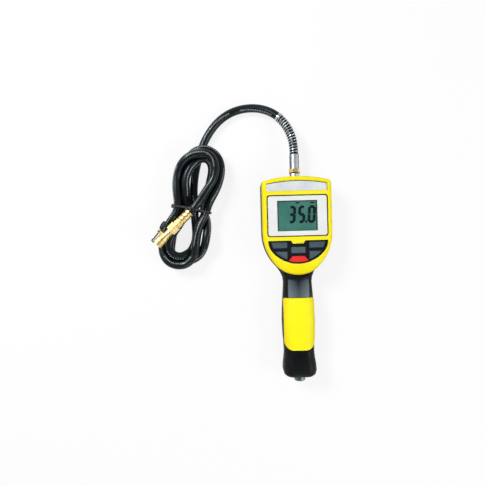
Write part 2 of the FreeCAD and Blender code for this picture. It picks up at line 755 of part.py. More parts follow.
def battery_door():
    """Curved lid of the battery bay, flush with the back of the handle."""
    lid = HANDLE.cut(CAVITY).common(door_area(DOOR_GAP))
    lid = max(lid.Solids, key=lambda s: s.Volume)
    hole = flat_hole(0, DOOR_SCREW_AT, -1, DOOR_CUT_TOP, DOOR_SCREW_RADIUS + SEAT_GAP)
    seat_radius = DOOR_SCREW_HEAD_RADIUS + SIDE_GAP
    seat = flat_sided(0, DOOR_SCREW_AT, -1, DOOR_SCREW_SEAT, seat_radius, TURNED_SIDES)
    return clean(lid.cut([hole, seat]))


def bezel():
    """Yellow frame: a skirt over the step of the front cover, rounded edges, window and dish."""
    body = head(BEZEL_INSET, LEDGE, FACE)
    run = BEZEL_DIP_START - HEAD_TIP - BEZEL_INSET
    dip_radius = (run ** 2 + BEZEL_DIP ** 2) / (2 * BEZEL_DIP)
    end_y, end_z = BEZEL_DIP_START - run, FACE - BEZEL_DIP
    half_angle = math.asin(run / dip_radius) / 2
    mid_y = BEZEL_DIP_START - dip_radius * math.sin(half_angle)
    mid_z = FACE - dip_radius * (1 - math.cos(half_angle))
    start, end = Vector(-BIG, BEZEL_DIP_START, FACE), Vector(-BIG, end_y, end_z)
    edges = [Part.Arc(start, Vector(-BIG, mid_y, mid_z), end).toShape()]
    corners = [end, Vector(-BIG, end_y - 5, end_z), Vector(-BIG, end_y - 5, FACE), start]
    edges += [Part.LineSegment(a, b).toShape() for a, b in zip(corners, corners[1:])]
    body = clean(body.cut(Part.Face(Part.Wire(edges)).extrude(Vector(2 * BIG, 0, 0))))
    rim = [e for e in body.Edges if e.BoundBox.ZMin > LEDGE + 1 and not inner_edge(e)]
    body = body.makeFillet(BEZEL_FILLET, rim)
    cuts = [head(BEZEL_INSET + BEZEL_WALL, LEDGE, FACE - BEZEL_SKIN)]
    cuts.append(rounded_plate(DISPLAY_WIDTH + 2 * DISPLAY_GAP, DISPLAY_HEIGHT + 2 * DISPLAY_GAP,
                              DISPLAY_CORNER, LEDGE, FACE + 1, 0, DISPLAY_CENTRE))
    cuts.append(dish(0, LEDGE, FACE + 1))
    cuts.append(label(0, FACE + 1))
    return clean(body.cut(cuts))


def inner_edge(edge):
    """True for the straight edge where the flat face starts to dip."""
    box = edge.BoundBox
    return box.YLength < 1e-4 and abs(box.YMin - BEZEL_DIP_START) < 1e-3


def label(gap, top):
    """Strip with a curved upper edge."""
    half = LABEL_HALF_WIDTH - gap
    wire = outline([
        (half, LABEL_BOTTOM + gap),
        (half, LABEL_SIDE_TOP - gap),
        (0, LABEL_PEAK - gap, -half, LABEL_SIDE_TOP - gap),
        (-half, LABEL_BOTTOM + gap),
    ])
    return plate(wire, FACE - LABEL_THICKNESS, top)


def display_panel():
    """White surround of the display, with a rear pocket for the module and the window for the lens."""
    body = rounded_plate(DISPLAY_WIDTH, DISPLAY_HEIGHT, DISPLAY_CORNER, DECK_TOP, FACE - DISPLAY_SINK,
                         0, DISPLAY_CENTRE)
    window = plate(rectangle(WINDOW_WIDTH, WINDOW_HEIGHT, 0, DISPLAY_CENTRE), DECK_TOP, FACE)
    pocket = rectangle(MODULE_WIDTH + 2 * MODULE_GAP, MODULE_HEIGHT + 2 * MODULE_GAP, 0, DISPLAY_CENTRE)
    return clean(body.cut([window, plate(pocket, DECK_TOP, LENS_LOW + SEAT_GAP)]))


LENS_TOP = FACE - DISPLAY_SINK - LENS_SINK
LENS_LOW = LENS_TOP - LENS_THICKNESS


def lcd_lens():
    wire = rectangle(WINDOW_WIDTH - 2 * SEAT_GAP, WINDOW_HEIGHT - 2 * SEAT_GAP, 0, DISPLAY_CENTRE)
    return plate(wire, LENS_LOW, LENS_TOP)


def lcd_module():
    return plate(rectangle(MODULE_WIDTH, MODULE_HEIGHT, 0, DISPLAY_CENTRE), BOARD_TOP, LENS_LOW)


def keypad_panel():
    """Dark panel in the dish, with a hole and a hidden pocket for each key."""
    body = dish(PANEL_GAP, DECK_TOP, PANEL_TOP)
    cuts = []
    for wire, stem, flip in KEYS.values():
        hole = plate(grown(wire, KEY_GAP), DECK_TOP, FACE)
        pocket = plate(grown(wire, KEY_FLANGE + SIDE_GAP), DECK_TOP, PANEL_TOP - PANEL_SKIN)
        cuts += [mirrored(piece) if flip else piece for piece in (hole, pocket)]
    return clean(body.cut(cuts))


def keypad_mat():
    """Rubber mat on the board, with a dome under each stem."""
    sheet = dish(MAT_INSET, BOARD_TOP, BOARD_TOP + MAT_THICKNESS)
    domes = [post(place, DOME_HALF, BOARD_TOP, DOME_TOP) for place in stem_places()]
    return clean(sheet.fuse(domes))


def circuit_board():
    board = head(BOARD_INSET, BOARD_UNDER, BOARD_TOP).common(block(-BIG, BIG, BOARD_START, BIG, 0, BIG))
    notch = FRONT_BOSS + 0.6
    cuts = []
    for x, y in screw_places()[:4]:
        inner, outer = (x - notch, BIG) if x > 0 else (-BIG, x + notch)
        end = BIG if y > DISPLAY_CENTRE else y + notch
        cuts.append(block(inner, outer, y - notch, end, 0, BIG))
    cuts += [flat_hole(x, y, 0, FACE, BOARD_SCREW_RADIUS + FIT_GAP) for x, y in paired(BOARD_POSTS)]
    return clean(board.cut(cuts))


def screw(x, y, seat, head_radius, head_height, shank_radius, length):
    """Pan screw that points up from its seat."""
    head_part = flat_sided(x, y, seat - head_height, seat, head_radius, 8)
    return head_part.fuse(flat_sided(x, y, seat, seat + length, shank_radius, 6))


def board_screws():
    return [screw(x, y, BOARD_UNDER, BOARD_SCREW_HEAD_RADIUS, BOARD_SCREW_HEAD, BOARD_SCREW_RADIUS,
                  BOARD_SCREW_LENGTH) for x, y in paired(BOARD_POSTS)]


def housing_screws():
    return [screw(x, y, SCREW_SEAT, SCREW_HEAD_RADIUS, SCREW_HEAD, SCREW_RADIUS, SCREW_LENGTH)
            for x, y in screw_places()]


def pressure_sensor():
    half = SENSOR_SIZE / 2
    return block(-half, half, SENSOR_AT - half, SENSOR_AT + half, BLOCK_HIGH, BOARD_UNDER)


def valve_block():
    """Machined block that joins the inlet, the outlet and both valves."""
    body = block(-BLOCK_HALF, BLOCK_HALF, BLOCK_START, BLOCK_END, BLOCK_LOW, BLOCK_HIGH)
    return body.makeChamfer(2.0, upright_edges(body))


def solenoid(side):
    """Can of a valve's coil, with the bore that its plunger slides in."""
    x = side * SOLENOID_AT
    can = round_bar(BLOCK_END, BLOCK_END + SOLENOID_LENGTH, SOLENOID_RADIUS, x)
    bore = bar(BLOCK_END, BLOCK_END + SOLENOID_LENGTH - SOLENOID_WALL, PLUNGER_RADIUS + PLUNGER_GAP, x)
    return can.cut(bore)


def plunger(side):
    start = BLOCK_END + PLUNGER_START_GAP
    return bar(start, start + PLUNGER_LENGTH, PLUNGER_RADIUS, side * SOLENOID_AT)


def plunger_springs():
    """Return springs behind the plungers, as plain sleeves of their outer size."""
    low = BLOCK_END + PLUNGER_START_GAP + PLUNGER_LENGTH + PLUNGER_TRAVEL + SEAT_GAP
    high = BLOCK_END + SOLENOID_LENGTH - SOLENOID_WALL
    return [round_bar(low, high, PLUNGER_RADIUS, side * SOLENOID_AT).cut(
        round_bar(low, high, PLUNGER_RADIUS - SPRING_WIRE, side * SOLENOID_AT)) for side in (1, -1)]


def battery_cells():
    cells = []
    for x in (CELL_SPREAD, -CELL_SPREAD):
        for row in (0, 1):
            far = CELL_START - CELL_LENGTH * (row + 1)
            can = round_bar(far, far + CELL_LENGTH - CELL_NUB, CELL_RADIUS, x, CELL_LEVEL)
            nub = round_bar(far + CELL_LENGTH - CELL_NUB, far + CELL_LENGTH, CELL_NUB_RADIUS, x, CELL_LEVEL)
            turn = can.fuse(nub)
            if x < 0:
                middle = Vector(x, far + CELL_LENGTH / 2, CELL_LEVEL)
                turn.rotate(middle, ALONG_Z, 180)
            cells.append(turn)
    return cells


def battery_contacts():
    half = CONTACT_HALF
    low, high = CELL_LEVEL - CONTACT_HALF, CELL_LEVEL + CONTACT_HALF
    plates = [block(x - half, x + half, CELL_START, CELL_START + CONTACT_THICKNESS, low, high)
              for x in (CELL_SPREAD, -CELL_SPREAD)]
    far = CELL_END - CONTACT_THICKNESS
    plates.append(block(-CELL_SPREAD - half, CELL_SPREAD + half, far, CELL_END, low, high))
    return plates


def door_screw():
    return screw(0, DOOR_SCREW_AT, DOOR_SCREW_SEAT, DOOR_SCREW_HEAD_RADIUS, DOOR_SCREW_HEAD,
                 DOOR_SCREW_RADIUS, DOOR_SCREW_LENGTH)


def outlet_collar():
    """Sleeve that seats in the top wall and carries the hose adapter."""
    neck = bar(COLLAR_START, COLLAR_END, COLLAR_NECK)
    return clean(neck.fuse(bar(HEAD_TOP + SEAT_GAP, COLLAR_END, COLLAR_RADIUS)))


ADAPTER_END = COLLAR_END + ADAPTER_LENGTH
FERRULE_END = ADAPTER_END + FERRULE_LENGTH


def hose_adapter():
    return faceted(ADAPTER_FLATS, 6, COLLAR_END, ADAPTER_END)


def hose_ferrule():
    body = faceted(2 * FERRULE_RADIUS, 8, ADAPTER_END, FERRULE_END)
    return body.common(bar(ADAPTER_END, FERRULE_END, FERRULE_RADIUS * 1.05))


def inlet_fitting():
    """Threaded inlet whose neck sits in the butt of the handle."""
    outer_end = BUTT_END - INLET_LENGTH
    body = bar(outer_end, BUTT_END, INLET_RADIUS)
    body = body.makeChamfer(0.8, [e for e in body.Edges if e.BoundBox.YMax < outer_end + 0.01])
    body = body.fuse(bar(BUTT_END, BUTT_END + INLET_NECK_LENGTH, INLET_NECK))
    bore = bar(outer_end, outer_end + INLET_DEPTH, INLET_BORE)
    return clean(body.cut([bore, bar(outer_end, BUTT_END + INLET_NECK_LENGTH, INLET_PASSAGE)]))


def tangent_arc(start, along, end):
    """Arc that leaves the start in the given direction and reaches the end, and its direction there."""
    chord = end - start
    span = Vector(chord).normalize()
    lean = along - span * along.dot(span)
    if lean.Length < 1e-6:
        return Part.LineSegment(start, end).toShape(), along, 1e9
    angle = math.atan2(lean.Length, along.dot(span))
    lean.normalize()
    middle = (start + end) * 0.5 + lean * (chord.Length / 2 * math.tan(angle / 2))
    radius = chord.Length / (2 * math.sin(angle))
    leave = span * (2 * along.dot(span)) - along
    return Part.Arc(start, middle, end).toShape(), leave, radius


def arcs_through(stations):
    """Two tangent arcs between each pair of stations."""
    edges, radii = [], []
    for (p, t), (q, u) in zip(stations, stations[1:]):
        v, both = q - p, t + u
        spread = 2 * (1 - t.dot(u))
        if spread < 1e-9:
            reach = v.dot(v) / (4 * v.dot(u))
        else:
            reach = (-v.dot(both) + math.sqrt(v.dot(both) ** 2 + spread * v.dot(v))) / spread
        joint = (p + q + (t - u) * reach) * 0.5
        first, turn, radius = tangent_arc(p, t, joint)
        second, turn, other = tangent_arc(joint, turn, q)
        edges += [first, second]
        radii += [radius, other]
    arcs_through.radii = radii
    return Part.Wire(edges)


def tube(path, width, sides):
    """Faceted tube of one section along a path."""
    first = path.OrderedEdges[0]
    start = first.valueAt(first.FirstParameter)
    along = first.tangentAt(first.FirstParameter)
    across = along.cross(ALONG_Z if abs(along.z) < 0.9 else ALONG_X).normalize()
    up = along.cross(across)
    corners = []
    for i in range(sides + 1):
        a = 2 * math.pi * (i + 0.5) / sides
        corners.append(start + across * (width / 2 * math.cos(a)) + up * (width / 2 * math.sin(a)))
    corners[-1] = corners[0]
    shell = Part.BRepOffsetAPI.MakePipeShell(path)
    shell.add(Part.makePolygon(corners))
    shell.build()
    shell.makeSolid()
    return shell.shape()


def rounded_route(points):
    """Straight runs joined by tangent arcs, each as large as its two runs allow."""
    points = [Vector(*p) for p in points]
    edges, radii = [], []
    here = points[0]
    for a, b, c in zip(points, points[1:], points[2:]):
        back, on = (a - b), (c - b)
        trim = 0.45 * min(back.Length, on.Length)
        back.normalize()
        on.normalize()
        turn = math.pi - back.getAngle(on)
        radius = trim / math.tan(turn / 2)
        enter, leave = b + back * trim, b + on * trim
        inward = (back + on).normalize()
        middle = b + inward * (radius / math.cos(turn / 2) - radius)
        edges += [Part.LineSegment(here, enter).toShape(), Part.Arc(enter, middle, leave).toShape()]
        radii.append(radius)
        here = leave
    edges.append(Part.LineSegment(here, points[-1]).toShape())
    rounded_route.radii = radii
    return Part.Wire(edges)


# Route of the hose from its ferrule to the tie, lying on the floor from its highest curve on
LEAD_ROUTE = [
    (0, FERRULE_END, PARTING), (0, 188.5, PARTING), (-4, 206, 20.8), (-13.5, 224, 17.8), (-28.5, 238.8, 13.6),
    (-48, 247.3, 9.2), (-70.5, 248.6, 6.4), (-92.5, 242.4, 6.0), (-111, 229.3, 6.1), (-125, 211.8, 6.0),
    (-135.2, 192, 6.1), (-142.3, 170.5, 6.0), (-147.2, 148.5, 6.1), (-149.3, 126.5, 6.0), (-148.6, 112, 6.4),
    (-148.4, 100.9, 7.6),
]
# The hank's first strand keeps left of its neighbour, and its last one climbs to the chuck
FIRST_STRAND = (-146.2, 56.0, 6.2)
LAST_STRAND = [(-118.2, 139.7, 26.5), (-126.0, 128.3, 27.4), (-133.8, 115.6, 30.6)]


def loop_point(angle):
    """Middle of the bundle: a leaning loop with a waist."""
    c, s = math.cos(angle), math.sin(angle)
    x = HANK_CENTRE[0] + HANK_LEAN * c + HANK_HALF_WIDTH * s + HANK_WAIST * math.sin(3 * angle)
    y = HANK_CENTRE[1] + HANK_HALF_LENGTH * c + HANK_PINCH * math.cos(3 * angle) + HANK_TWIST * s
    return Vector(x, y, 0)


def stepped(values, k, rise):
    """Smooth step between the values at the whole eighths, which rise by a fixed amount each turn."""
    i = math.floor(k)
    a, b = (values[j % 8] + rise * (j // 8) for j in (i, i + 1))
    t = k - i
    return a + (b - a) * t * t * (3 - 2 * t)


def strand_point(k):
    """Place of the strand k eighths of a turn after the waist: three strands twist as one bundle."""
    angle = math.radians(90 + 45 * k)
    ahead = loop_point(angle + 1e-4) - loop_point(angle - 1e-4)
    ahead.normalize()
    outward = Vector(-ahead.y, ahead.x, 0)
    bundle = STRAND_SPACING / math.sqrt(3)
    place = stepped(STRAND_ANGLES, k, 360 / HANK_TURNS)
    lowest = (place - 210) % 120 - 60
    height = bundle * (math.cos(math.radians(lowest)) + math.sin(math.radians(place)))
    point = loop_point(angle) + outward * (bundle * math.cos(math.radians(place)))
    return point + Vector(0, 0, HOSE / 2 + stepped(STRAND_LIFTS, k, 0) + height)


def strand_stations():
    """Points and directions along the hank, whose two ends run straight for one diameter."""
    route = [Vector(*p) for p in LEAD_ROUTE[-2:]]
    along = (route[1] - route[0]).normalize()
    stations = [(route[1], along), (route[1] + along * HOSE, along)]
    stations.append((Vector(*FIRST_STRAND), Vector(-0.1, -1, 0).normalize()))
    for half in range(3, 16 * HANK_TURNS - 1):
        k = half / 2
        ahead = strand_point(k + 1e-3) - strand_point(k - 1e-3)
        stations.append((strand_point(k), ahead.normalize()))
    towards = Vector(CHUCK_TOWARDS).normalize()
    straight = CHUCK_FROM - towards * HOSE
    points = [stations[-1][0]] + [Vector(*p) for p in LAST_STRAND] + [straight]
    for before, point, after in zip(points, points[1:], points[2:]):
        stations.append((point, (after - before).normalize()))
    return stations + [(straight, towards), (CHUCK_FROM, towards)]


def spread_points(path, step):
    """Points along a path about one step apart, with their distance from its start."""
    points = []
    run = 0.0
    for edge in path.OrderedEdges:
        count = max(2, int(edge.Length / step))
        for i in range(count):
            at = edge.getParameterByLength(edge.Length * i / count)
            points.append((run + edge.Length * i / count, edge.valueAt(at)))
        run += edge.Length
    return points


def least_gap(path, width, apart):
    """Least clear space between a tube's turns that lie at least so far apart along it."""
    points = spread_points(path, width / 5)
    best = 1e9
    for i, (s, p) in enumerate(points):
        for t, q in points[i + 1:]:
            if t - s > apart:
                best = min(best, p.distanceToPoint(q))
    return best - width


def report_tube(name, path, solid, width, sides):
    area = sides / 2 * math.sin(2 * math.pi / sides) * (width / 2) ** 2
    ratio = solid.Volume / (area * path.Length)
    print("%s length %.1f volume ratio %.4f valid %s" % (name, path.Length, ratio, solid.isValid()))


def spring_guard(path):
    """Open coil over the first of the hose."""
    radius = HOSE / 2 + GUARD_GAP + GUARD_WIRE / 2
    lengths = []
    run = 0.0
    for edge in path.OrderedEdges:
        lengths.append((run, edge))
        run += edge.Length

    def frame(s):
        start, edge = [item for item in lengths if item[0] <= s + 1e-9][-1]
        at = edge.getParameterByLength(min(max(s - start, 0), edge.Length))
        along = edge.tangentAt(at)
        across = along.cross(ALONG_Z).normalize()
        return edge.valueAt(at), across, along.cross(across)

    pitch = GUARD_LENGTH / GUARD_TURNS

    def wire_at(s):
        centre, across, up = frame(s + GUARD_WIRE)
        a = 2 * math.pi * s / pitch
        return centre + across * (radius * math.cos(a)) + up * (radius * math.sin(a))

    stations = []
    for i in range(2 * GUARD_TURNS):
        s = pitch * i / 2
        ahead = wire_at(s + 1e-3) - wire_at(max(s - 1e-3, 0))
        stations.append((wire_at(s), ahead.normalize()))
    return arcs_through(stations)


def guard_ring(path):
    """Light ring that closes the guard, round the hose."""
    place = 0.0
    for edge in path.OrderedEdges:
        if place + edge.Length > GUARD_LENGTH + GUARD_WIRE:
            break
        place += edge.Length
    at = edge.getParameterByLength(GUARD_LENGTH + GUARD_WIRE - place)
    start, along = edge.valueAt(at), edge.tangentAt(at)
    inner = HOSE / 2 + GUARD_GAP
    ring = Part.makeCylinder(inner + GUARD_RING_WALL, GUARD_RING_LENGTH, start, along)
    return ring.cut(Part.makeCylinder(inner, GUARD_RING_LENGTH, start, along))


def hull(points):
    """Corners of the smallest convex outline round flat points."""
    points = sorted(points)

    def half(items):
        chain = []
        for p in items:
            while len(chain) > 1 and cross(chain[-2], chain[-1], p) <= 0:
                chain.pop()
            chain.append(p)
        return chain[:-1]

    def cross(o, a, b):
        return (a[0] - o[0]) * (b[1] - o[1]) - (a[1] - o[1]) * (b[0] - o[0])

    return half(points) + half(points[::-1])


def band(corners, radius):
    """Closed outline of that radius round the corners, in the plane across the tie's axis."""
    across = Vector(TIE_AXIS.y, -TIE_AXIS.x, 0).normalize()

    def place(u, z):
        return TIE_CENTRE + across * u + ALONG_Z * z

    count = len(corners)
    edges = []
    for i in range(count):
        a, b, c = corners[i - 1], corners[i], corners[(i + 1) % count]
        start = math.atan2(b[1] - a[1], b[0] - a[0]) - math.pi / 2
        end = math.atan2(c[1] - b[1], c[0] - b[0]) - math.pi / 2
        if end < start:
            end += 2 * math.pi
        turns = (start, (start + end) / 2, end)
        where = [(b[0] + radius * math.cos(t), b[1] + radius * math.sin(t)) for t in turns]
        edges.append(Part.Arc(*[place(*w) for w in where]).toShape())
        after = (c[0] + radius * math.cos(end), c[1] + radius * math.sin(end))
        edges.append(Part.LineSegment(place(*where[2]), place(*after)).toShape())
    return Part.Wire(edges)


def hank_tie(paths):
    """Flat band pulled round every strand at the waist."""
    axis = Vector(TIE_AXIS).normalize()
    across = Vector(axis.y, -axis.x, 0)
    places = []
    for path in paths:
        points = [p for s, p in spread_points(path, 0.5)]
        for p, q in zip(points, points[1:]):
            a, b = (p - TIE_CENTRE).dot(axis), (q - TIE_CENTRE).dot(axis)
            if a * b <= 0 and (p - TIE_CENTRE).Length < TIE_REACH:
                ahead = Vector(q - p).normalize()
                slant = 1 / abs(ahead.dot(axis)) - 1
                u = (p - TIE_CENTRE).dot(across)
                shift = slant * HOSE / 2 + TIE_WIDTH / 2 * math.tan(math.acos(min(1, 1 / (1 + slant))))
                places += [(u - shift, p.z), (u + shift, p.z)]
    corners = hull(places)
    inner = HOSE / 2 + TIE_GAP
    outer = Part.Face(band(corners, inner + TIE_THICKNESS))
    ring = outer.cut(Part.Face(band(corners, inner)))
    ring.translate(axis * (-TIE_WIDTH / 2))
    solid = ring.extrude(axis * TIE_WIDTH)
    lowest = solid.BoundBox.ZMin
    print("tie crosses %d strands, lowest %.2f" % (len(places) // 2, lowest))
    return solid.Solids[0]


def on_chuck(shape):
    """Place a piece made along X, with its clip towards plus Y, on the chuck's own axis."""
    shape = shape.mirror(Vector(0, 0, 0), ALONG_Y)
    turn = math.degrees(math.atan2(CHUCK_TOWARDS.y, CHUCK_TOWARDS.x))
    place = FreeCAD.Placement(CHUCK_FROM, FreeCAD.Rotation(ALONG_Z, turn))
    shape.Placement = place.multiply(shape.Placement)
    return shape


NUT_START = END_FERRULE_LENGTH
CHUCK_START = NUT_START + NUT_LENGTH
SEAL_START = CHUCK_MOUTH - CHUCK_BORE_DEPTH - SEAL_LENGTH


def core(start, end, radius):
    """Round bar along the chuck's axis."""
    return Part.makeCylinder(radius, end - start, Vector(start, 0, 0), ALONG_X)


def end_ferrule():
    """Brass sleeve with rolled crimp rings."""
    crest = END_FERRULE_RADIUS
    profile = [(0, crest - CRIMP_DEPTH), (CRIMP_DEPTH, crest)]
    pitch = (END_FERRULE_LENGTH - 2 * CRIMP_DEPTH) / CRIMPS
    for i in range(CRIMPS):
        s = CRIMP_DEPTH + pitch * (i + 0.7)
        profile += [(s - CRIMP_DEPTH, crest), (s, crest - CRIMP_DEPTH), (s + CRIMP_DEPTH, crest)]
    profile.append((END_FERRULE_LENGTH, crest))
    return turned(profile)


def chuck_nut():
    return hexagon(NUT_FLATS, NUT_START, CHUCK_START)


def chuck_body():
    """Brass chuck: hexagon, neck, flared barrel with its bore, and two lugs for the clip's pin."""
    barrel = turned([
        (CHUCK_START, CHUCK_NECK_RADIUS), (CHUCK_NECK_END, CHUCK_NECK_RADIUS),
        (CHUCK_FLARE_END, CHUCK_FLARE_RADIUS), (CHUCK_MOUTH - 1, CHUCK_MOUTH_RADIUS),
        (CHUCK_MOUTH, CHUCK_MOUTH_RADIUS - 1),
    ])
    hexed = hexagon(CHUCK_FLATS, CHUCK_START + 1, CHUCK_HEX_END)
    lug = block(PIN_AT - LUG_RADIUS, PIN_AT + LUG_RADIUS, 0, PIN_OUT, LUG_INNER, LUG_OUTER)
    lug = lug.fuse(rod(PIN_AT, PIN_OUT, LUG_INNER, LUG_OUTER, LUG_RADIUS))
    lugs = [lug, lug.mirror(Vector(0, 0, 0), ALONG_Z)]
    bore = core(CHUCK_MOUTH - CHUCK_BORE_DEPTH, CHUCK_MOUTH, CHUCK_BORE)
    seat = core(SEAL_START, SEAL_START + SEAL_LENGTH, SEAL_RADIUS)
    air_way = core(CHUCK_START, CHUCK_MOUTH, CHUCK_PASSAGE)
    pin_hole = rod(PIN_AT, PIN_OUT, -LUG_OUTER - 1, LUG_OUTER + 1, PIN_RADIUS + 0.01)
    hub_room = rod(PIN_AT, PIN_OUT, -LUG_INNER, LUG_INNER, HUB_RADIUS + 0.3)
    return clean(barrel.fuse([hexed] + lugs).cut([bore, seat, air_way, pin_hole, hub_room]))


def chuck_seal():
    end = SEAL_START + SEAL_LENGTH
    return core(SEAL_START, end, SEAL_RADIUS - SEAT_GAP).cut(core(SEAL_START, end, SEAL_BORE))


def chuck_depressor():
    """Pin that opens the tyre's valve, on a bar across the passage."""
    start = SEAL_START - 2.0
    bar_half = CHUCK_PASSAGE - 0.05
    foot = block(start, start + 1.0, -bar_half, bar_half, -0.5, 0.5)
    foot = foot.common(core(start, start + 1.0, bar_half))
    return foot.fuse(core(start, start + SEAL_LENGTH + 1.9, DEPRESSOR_RADIUS))


def clip_jaw():
    """Steel jaw: an arm from the hub to the hook before the mouth, and a tongue under the lever."""
    out = PIN_OUT
    t = JAW_THICKNESS
    arm = outline([
        (LEVER_START + 2, out + 2.0), (PIN_AT, out + 1.0), (CHUCK_MOUTH - 4, out - 0.4),
        (JAW_REACH - 1.0, out - 0.4), (JAW_REACH, out - 1.4),
        (JAW_REACH, JAW_TIP_OUT + 1), (JAW_REACH - 0.6, JAW_TIP_OUT),
        (JAW_REACH - t, JAW_TIP_OUT), (JAW_REACH - t, out - 0.4 - t), (CHUCK_MOUTH - 4, out - 0.4 - t),
        (PIN_AT, out - 0.4), (LEVER_START + 2, out + 2.0 - t),
    ])
    arm = plate(arm, -CLIP_HALF, CLIP_HALF)
    hub = rod(PIN_AT, out, -CLIP_HALF, CLIP_HALF, HUB_RADIUS)
    hole = rod(PIN_AT, out, -CLIP_HALF, CLIP_HALF, PIN_RADIUS + PIN_FIT)
    ear = CLIP_HALF - CLIP_EAR
    coil_room = rod(PIN_AT, out, -ear, ear, CLIP_COIL_RADIUS + CLIP_WIRE / 2 + SIDE_GAP)
    return clean(arm.fuse(hub).cut([hole, coil_room]))


def clip_lever():
    """Thumb piece on the jaw's tongue."""
    out = PIN_OUT
    rise = (PIN_AT - 3.2 - LEVER_START - 2) / (PIN_AT - LEVER_START - 2)
    end_level = out + 2.0 - rise
    profile = outline([
        (LEVER_START, out + 2.0), (LEVER_START + 2, out + 2.0), (PIN_AT - 3.2, end_level),
        (PIN_AT - LEVER_END, end_level + 1.6), (43.5, 15.9, LEVER_START + 4.5, LEVER_TOP - 0.3),
        (LEVER_START + 1.2, LEVER_TOP), (LEVER_START, LEVER_TOP - 1.0),
    ])
    return plate(profile, -CLIP_HALF - LEVER_SIDE, CLIP_HALF + LEVER_SIDE)


def clip_pin():
    return rod(PIN_AT, PIN_OUT, -LUG_OUTER - 0.3, LUG_OUTER + 0.3, PIN_RADIUS)


def clip_spring():
    """Small spring round the pin between the hub's ears, as a plain sleeve of its outer size."""
    half = CLIP_HALF - CLIP_EAR - SIDE_GAP
    outer = rod(PIN_AT, PIN_OUT, -half, half, CLIP_COIL_RADIUS + CLIP_WIRE / 2)
    return outer.cut(rod(PIN_AT, PIN_OUT, -half, half, CLIP_COIL_RADIUS - CLIP_WIRE / 2))


def housing():
    save("front_cover", front_cover())
    save("rear_cover", rear_cover())
    save("bezel", bezel())
    save("grip_pad", grip_pad())
    save("label_strip", label(LABEL_GAP, FACE))
    save("display_panel", display_panel())
    save("lcd_lens", lcd_lens())
    save("lcd_module", lcd_module())
    save("keypad_panel", keypad_panel())
    save("keypad_mat", keypad_mat())
    for name in KEYS:
        save(name, key(name))
    save("battery_door", battery_door())
    save("housing_screws", *housing_screws())
    save("door_screw", door_screw())


def insides():
    save("circuit_board", circuit_board())
    save("board_screws", *board_screws())
    save("pressure_sensor", pressure_sensor())
    save("valve_block", valve_block())
    save("exhaust_silencer", rod(0, SILENCER_AT, BLOCK_LOW - SILENCER_HEIGHT, BLOCK_LOW, SILENCER_RADIUS))
    for name, side in (("inflate", 1), ("deflate", -1)):
        save(name + "_solenoid", solenoid(side))
        save(name + "_plunger", plunger(side))
    save("plunger_springs", *plunger_springs())
    save("air_tube", bar(BUTT_END + INLET_NECK_LENGTH, BLOCK_START, AIR_RADIUS))
    save("outlet_tube", bar(BLOCK_END, COLLAR_START, AIR_RADIUS))
    save("batteries", *battery_cells())
    save("battery_contacts", *battery_contacts())


def fittings():
    save("inlet_fitting", inlet_fitting())
    save("outlet_collar", outlet_collar())
    save("hose_adapter", hose_adapter())
    save("hose_ferrule", hose_ferrule())


def hose():
    lead_path = rounded_route(LEAD_ROUTE)
    print("lead radii", [round(r) for r in rounded_route.radii])
    lead = tube(lead_path, HOSE, HOSE_SIDES)
    report_tube("lead", lead_path, lead, HOSE, HOSE_SIDES)
    save("hose_lead", lead)
    strand_path = arcs_through(strand_stations())
    print("hank least radius %.1f" % min(arcs_through.radii))
    print("hank least gap to itself %.2f" % least_gap(strand_path, HOSE, 2.5 * HOSE))
    strand = tube(strand_path, HOSE, HOSE_SIDES)
    report_tube("hank", strand_path, strand, HOSE, HOSE_SIDES)
    save("hose_hank", strand)
    guard_path = spring_guard(lead_path)
    print("guard least gap to itself %.2f" % least_gap(guard_path, GUARD_WIRE, 3 * GUARD_WIRE))
    guard = tube(guard_path, GUARD_WIRE, GUARD_SIDES)
    report_tube("guard", guard_path, guard, GUARD_WIRE, GUARD_SIDES)
    save("spring_guard", guard)
    save("guard_ring", guard_ring(lead_path))
    save("hank_tie", hank_tie([lead_path, strand_path]))


def chuck():
    save("end_ferrule", on_chuck(end_ferrule()))
    save("chuck_nut", on_chuck(chuck_nut()))
    save("chuck_body", on_chuck(chuck_body()))
    save("chuck_seal", on_chuck(chuck_seal()))
    save("chuck_depressor", on_chuck(chuck_depressor()))
    save("clip_jaw", on_chuck(clip_jaw()))
    save("clip_lever", on_chuck(clip_lever()))
    save("clip_pin", on_chuck(clip_pin()))
    save("clip_spring", on_chuck(clip_spring()))


os.makedirs("parts", exist_ok=True)
housing()
insides()
fittings()
hose()
chuck()
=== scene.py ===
import json
import math

import bmesh
import bpy
from mathutils import Matrix, Vector

